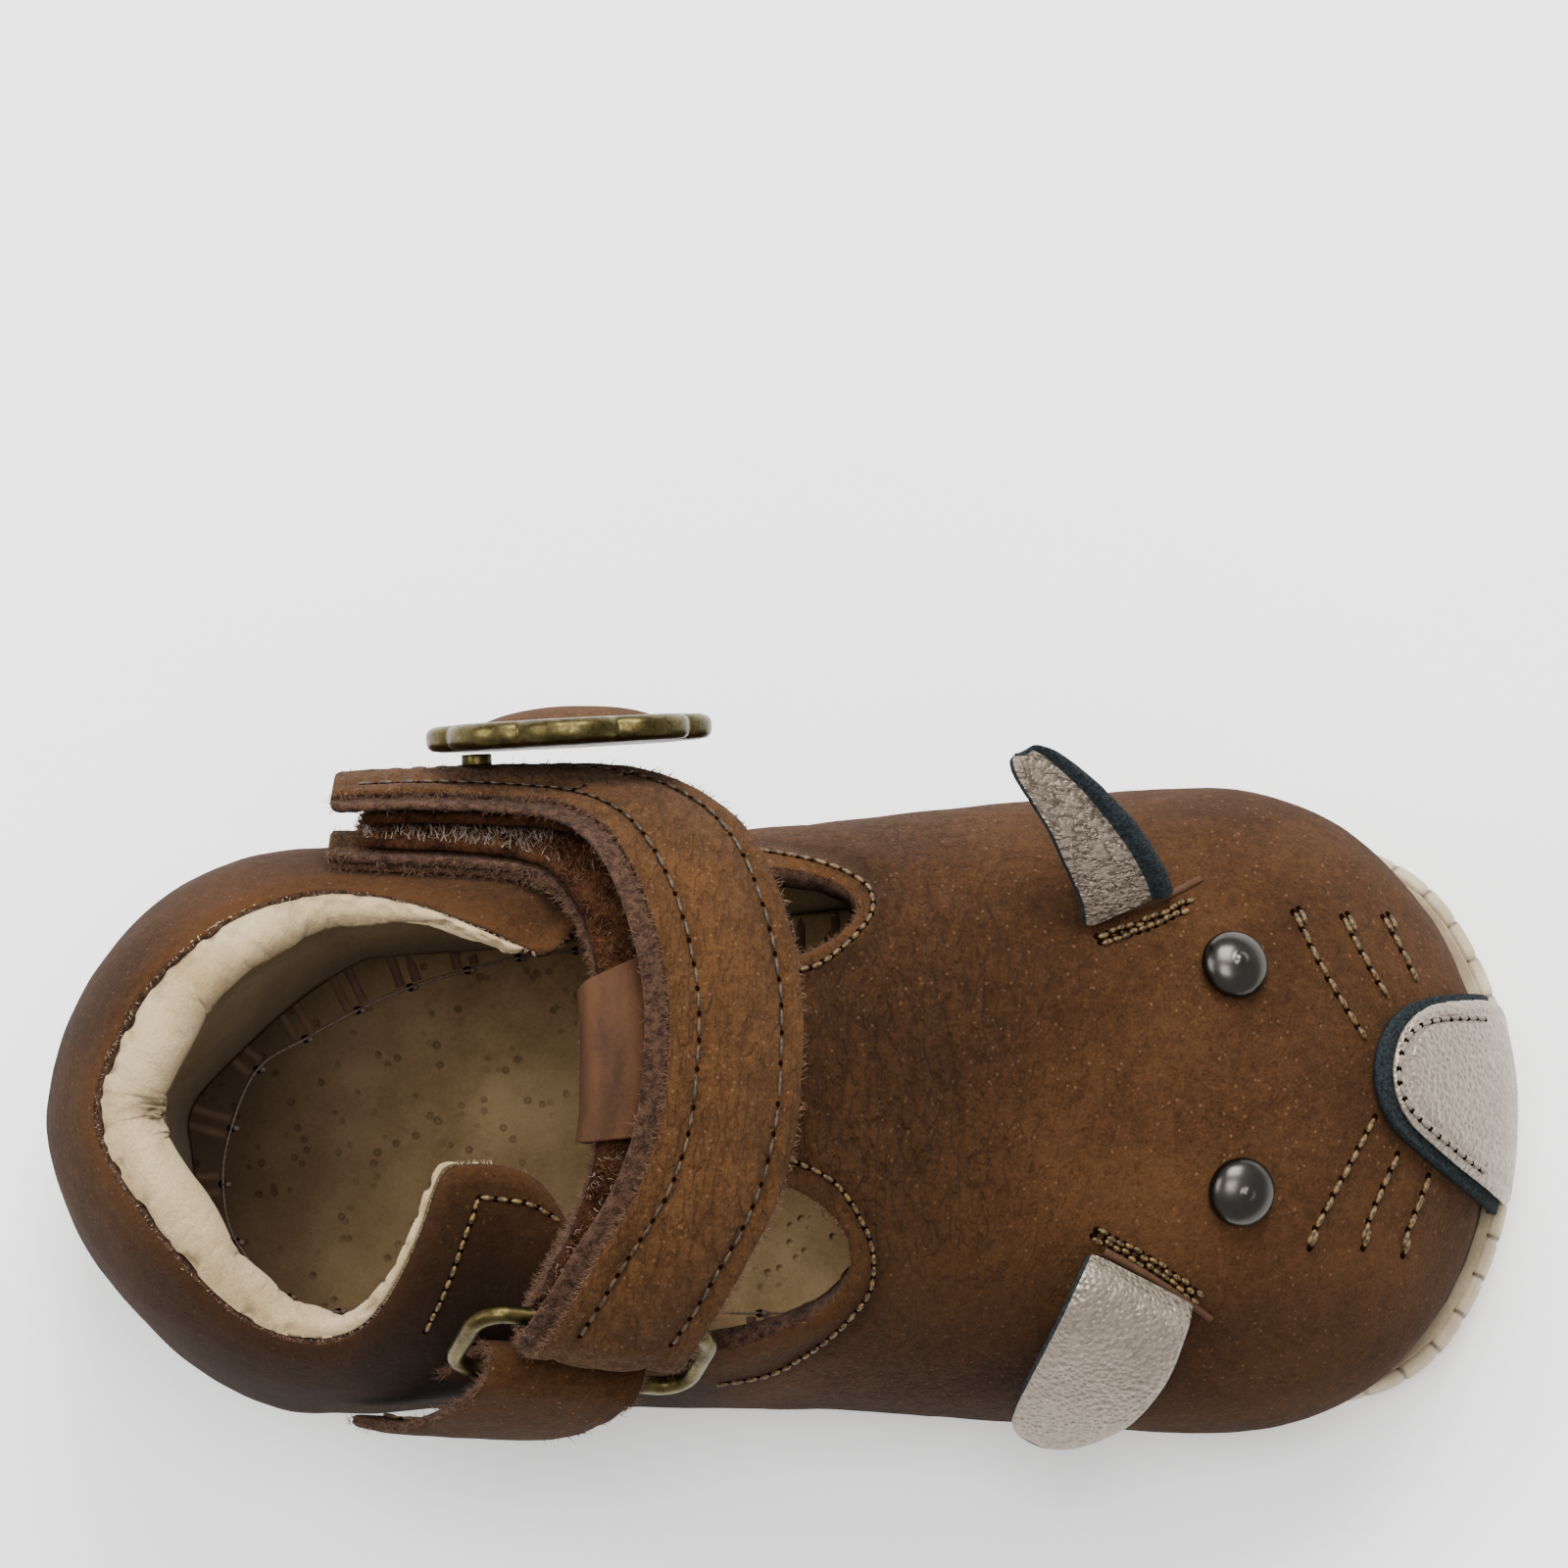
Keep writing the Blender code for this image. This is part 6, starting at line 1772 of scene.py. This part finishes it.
WHISKER_TIPS = [
    [(85.4, 17.9), (86.6, 15.2)], [(89.7, 17.7), (90.7, 15.4)], [(93.4, 18.0), (94.3, 15.8)],
    [(86.2, -11.4), (87.3, -9.0)], [(90.9, -11.2), (91.6, -9.2)], [(94.5, -11.6), (95.0, -9.8)],
]
EAR_ROWS = [
    [(67.8, 14.9), (72.1, 16.4), (76.4, 18.6)], [(68.1, 14.4), (72.3, 15.8), (76.2, 17.9)],
    [(67.4, -10.9), (72.0, -13.3), (76.5, -16.3)], [(67.7, -10.4), (72.3, -12.7), (76.9, -15.8)],
]
sew("vamp_stitches", [lay(upper_tree, row, STITCH_PITCH) for row in CUT_OUTS + QUARTERS], gold_thread)
sew("whisker_stitches", [lay(upper_tree, row, WHISKER_PITCH) for row in WHISKERS + WHISKER_TIPS], gold_thread,
    THICK_THREAD, 0.10)
sew("ear_stitches", [lay(upper_tree, row, EAR_PITCH) for row in EAR_ROWS], gold_thread, THICK_THREAD,
    0.0, 0.0002)

# Each ear goes through a slot whose edge is rolled into a thin brown lip. The lip reaches past the ear.
LIP_RADIUS = 0.00045
SLOT_LIPS = [
    [(67.3, 16.7), (70.0, 17.3), (73.5, 18.5), (77.0, 20.4)],
    [(68.2, -12.1), (71.0, -13.5), (74.2, -15.3), (77.6, -17.6)],
]
lip_leather = two_tone("lip_leather", 0.85, 1.1, 4.0, linear(48, 31, 20), linear(84, 58, 41),
                       Specular_IOR_Level=0.15)
slot_lips = [[hit + side * 0.00010 for hit, side in lay(upper_tree, line, 0.0004)] for line in SLOT_LIPS]
strands("slot_lips", slot_lips, LIP_RADIUS, lip_leather, 0.35, 3)

# %% [markdown]
# ## The stitches of the strap, the tab and the nose
# On a ribbon a row needs no ray, because the ribbon itself gives each stitch's place and side. The nose's
# seam is its own outline, moved inwards and read in order round the patch's middle.

# %% Sew the strap, the tab and the nose
RIBBON_STITCH_PITCH, NOSE_STITCH_PITCH = 0.0015, 0.0013
STRAP_SEWN, TAB_SEWN, TAB_SEAMS = (0.60, 0.985), (0.62, 0.97), (0.14, 0.86)
CROSS_ROW = 0.865


# The thread lies on the ribbon's underside, which faces out on the strap's upper run and on the tab's end.
def underside_row(ribbon, share, sewn, depth):
    start, stop = sewn
    count = max(1, round((stop - start) * ribbon.length / RIBBON_STITCH_PITCH))
    ways = [start + (stop - start) * i / count for i in range(count + 1)]
    return [(ribbon.over(way, share, -depth), ribbon.read(ribbon.sides, way, share).normalized() * -1.0)
            for way in ways]


inset = STITCH_INSET / STRAP_WIDTH
thread_height = STRAP_THICKNESS / 2 - 0.00004
strap_rows = [underside_row(strap_ribbon, share, STRAP_SEWN, thread_height) for share in (inset, 1 - inset)]
strap_rows.append([(strap_ribbon.over(CROSS_ROW, inset + (1 - 2 * inset) * i / 6, -thread_height - 0.0002),
                    -strap_ribbon.read(strap_ribbon.sides, CROSS_ROW, 0.5).normalized()) for i in range(7)])
sew("strap_stitches", strap_rows, dark_thread, 0.00034, 0.30)
tab_rows = [underside_row(tab_ribbon, share, TAB_SEWN, TAB_THICKNESS / 2 + 0.00010) for share in TAB_SEAMS]
sew("tab_stitches", tab_rows, gold_thread, 0.00040, 0.2)
NOSE_SEAM_INSET, NOSE_SEAM_END = 0.0022, 0.1022
NOSE_MIDDLE_X, NOSE_MIDDLE_Y = 0.1015, 0.0026
nose_seam, outline_points = [], nose_outline.points
for index, point in enumerate(outline_points):
    ahead = outline_points[(index + 2) % len(outline_points)] - outline_points[index - 2]
    normal = Vector((-ahead.y, ahead.x)).normalized() * nose_outline.turns
    spot = point + normal * NOSE_SEAM_INSET
    if spot.x < NOSE_SEAM_END and nose_outline.distance(Vector((spot.x, spot.y, 0))) < -0.9 * NOSE_SEAM_INSET:
        turn = math.atan2(spot.y - NOSE_MIDDLE_Y, spot.x - NOSE_MIDDLE_X) % math.tau
        nose_seam.append((turn, (spot.x * 1000, spot.y * 1000)))
nose_seam = [spot for _, spot in sorted(nose_seam)]
sew("nose_stitches", [lay(nose_tree, nose_seam, NOSE_STITCH_PITCH)], pale_thread, 0.00042, 0.18)

# %% [markdown]
# ## The insole's sewing
# A thin twisted thread runs round the insole from hole to hole, and from each hole a pair of flat brown
# bars reaches out to the wall. The holes were measured about every 5 mm. The threads are bevelled curves.

# %% Insole thread
HOLE_PITCH, HOLE_INSET = 0.0049, 0.0036
BAR_LENGTH, BAR_ASIDE, BAR_SUNK = 0.0040, 0.00075, 0.00042
TWIST_PITCH, TWIST_RADIUS, THREAD_STEP = 0.0011, 0.00007, 0.0003
PLY_RADIUS, BAR_RADIUS, KNOT_LENGTH = 0.00010, 0.00060, 0.0009
FOREFOOT_TURN, FOREFOOT_SPAN, FOREFOOT_STEPS, FOREFOOT_X = 0.845, 0.405, 1200, 0.0265
SHOE_MIDDLE = Vector((0.04, 0, 0))
SEEN_HOLES = [(22.6, 16.2), (17.6, 15.6), (13.1, 14.5), (8.1, 13.0), (3.5, 11.0), (-1.1, 8.5), (-5.3, 5.8), (-7.6, 0.6),
              (-8.3, -4.3), (-7.1, -9.4), (-2.5, -14.3), (1.9, -15.6), (6.8, -15.8)]
forefoot = []
for step in range(FOREFOOT_STEPS):
    place = column(FOREFOOT_TURN + FOREFOOT_SPAN * step / (FOREFOOT_STEPS - 1))
    point = plan_point(place, 1.0, upper_inset(place.along) + WALL + 2 * GAP + HOLE_INSET)
    if not forefoot or (point - forefoot[-1]).length >= HOLE_PITCH:
        forefoot.append(point)
forefoot = [point for point in forefoot if point.x > FOREFOOT_X]
hole_plan = in_metres(SEEN_HOLES)
hole_plan += [hole_plan[-1].lerp(forefoot[0], k / 4) for k in (1, 2, 3)] + forefoot
insole_ring, bars = [], []
for index, point in enumerate(hole_plan):
    hit = drop(insole_tree, point.x, point.y)
    if hit is None:
        continue
    insole_ring.append(hit)
    along_line = (hole_plan[(index + 1) % len(hole_plan)] - hole_plan[index - 1]).normalized()
    outward = Vector((-along_line.y, along_line.x, 0))
    if (point + outward * 0.01 - SHOE_MIDDLE).length <= (point - SHOE_MIDDLE).length:
        outward = -outward
    for offset in (-BAR_ASIDE, BAR_ASIDE):
        line = []
        for k in range(6):
            spot = point + outward * (BAR_LENGTH * (0.08 + 0.92 * k / 5)) + along_line * offset
            found = drop(insole_tree, spot.x, spot.y)
            if found:
                line.append(found[0] - found[1] * BAR_SUNK)
        if len(line) > 2:
            bars.append(line)
thread_line = smooth_line([hit[0] + hit[1] * 0.0001 for hit in insole_ring + insole_ring[:1]], THREAD_STEP)
plies = [[point + spoke(TWIST_RADIUS, i * THREAD_STEP / TWIST_PITCH * math.tau + phase, 0.00002)
          for i, point in enumerate(thread_line)] for phase in (0.0, math.pi)]
strands("insole_thread", plies, PLY_RADIUS, sole_thread)
brown_bar = two_tone("brown_bar", 0.8, 1.5, 3.0, linear(44, 27, 15), linear(88, 60, 37))
strands("insole_bars", bars, BAR_RADIUS, brown_bar, 0.0, 2)
knots = [[hit, (hit[0] + Vector((KNOT_LENGTH, 0, 0)), hit[1])] for hit in insole_ring]
sew("insole_knots", knots, sole_thread, 0.00060, 0.3)
print("insole holes:", len(insole_ring), "thread in mm:", round(line_length(thread_line) * 1000))

# %% [markdown]
# ## Fuzz
# Cut leather is never clean: short down stands on the strap's raw sides, along the cut-outs and along the
# roll's edge. It is made of thousands of short strands, fewer where the edge is hardly seen.

# %% Down on the raw edges
STRAP_DOWN, TAB_DOWN, DOWN_PITCH, CUT_OUT_DEPTH = 8200, 900, 0.00016, 0.0016
LEATHER_DOWN_RADIUS, CREAM_DOWN_RADIUS = 0.000038, 0.000032
down_lines, cream_lines = [], []
for ribbon, thickness, count in ((strap_ribbon, STRAP_THICKNESS, STRAP_DOWN), (tab_ribbon, TAB_THICKNESS, TAB_DOWN)):
    for _ in range(count):
        way, edge = dice.random(), dice.choice((0.0, 1.0))
        height = dice.uniform(-0.5, 0.5) * thickness
        on_lip = ribbon is strap_ribbon and edge == 0.0 and height > 0
        spread = -LIP_SPREAD * strap_lip(way) * dice.random() if on_lip else 0.0
        root = ribbon.over(way, edge + spread, height)
        outward = (ribbon.over(way, edge) - ribbon.over(way, 0.5)).normalized()
        down_lines.append(strand(root - outward * 0.0001, outward, dice.uniform(0.0004, 0.0010), 0.9))
for index in range(len(opening.points)):
    a, b = opening.points[index], opening.points[(index + 1) % len(opening.points)]
    for _ in range(max(1, round((b - a).length / DOWN_PITCH))):
        flat = a.lerp(b, dice.random())
        normal = Vector((-(b - a).y, (b - a).x, 0)).normalized()
        inward = normal if opening.distance(Vector((flat.x, flat.y, 0)) + normal * 0.0004) < 0 else -normal
        depth = dice.uniform(0.0001, CUT_OUT_DEPTH)
        top = dome_over(flat.x, flat.y)
        cut_out = index > CORNER_POINTS * 21
        root = Vector((flat.x, flat.y, top - (depth if cut_out else 0.0003)))
        line = strand(root, inward + Vector((0, 0, 0.3)), dice.uniform(0.0002, 0.0006), 0.9)
        (down_lines if cut_out else cream_lines).append(line)
strands("leather_down", down_lines, LEATHER_DOWN_RADIUS, leather_down)
strands("lining_down", cream_lines, CREAM_DOWN_RADIUS, cream_down)
print("down strands:", len(down_lines), len(cream_lines))
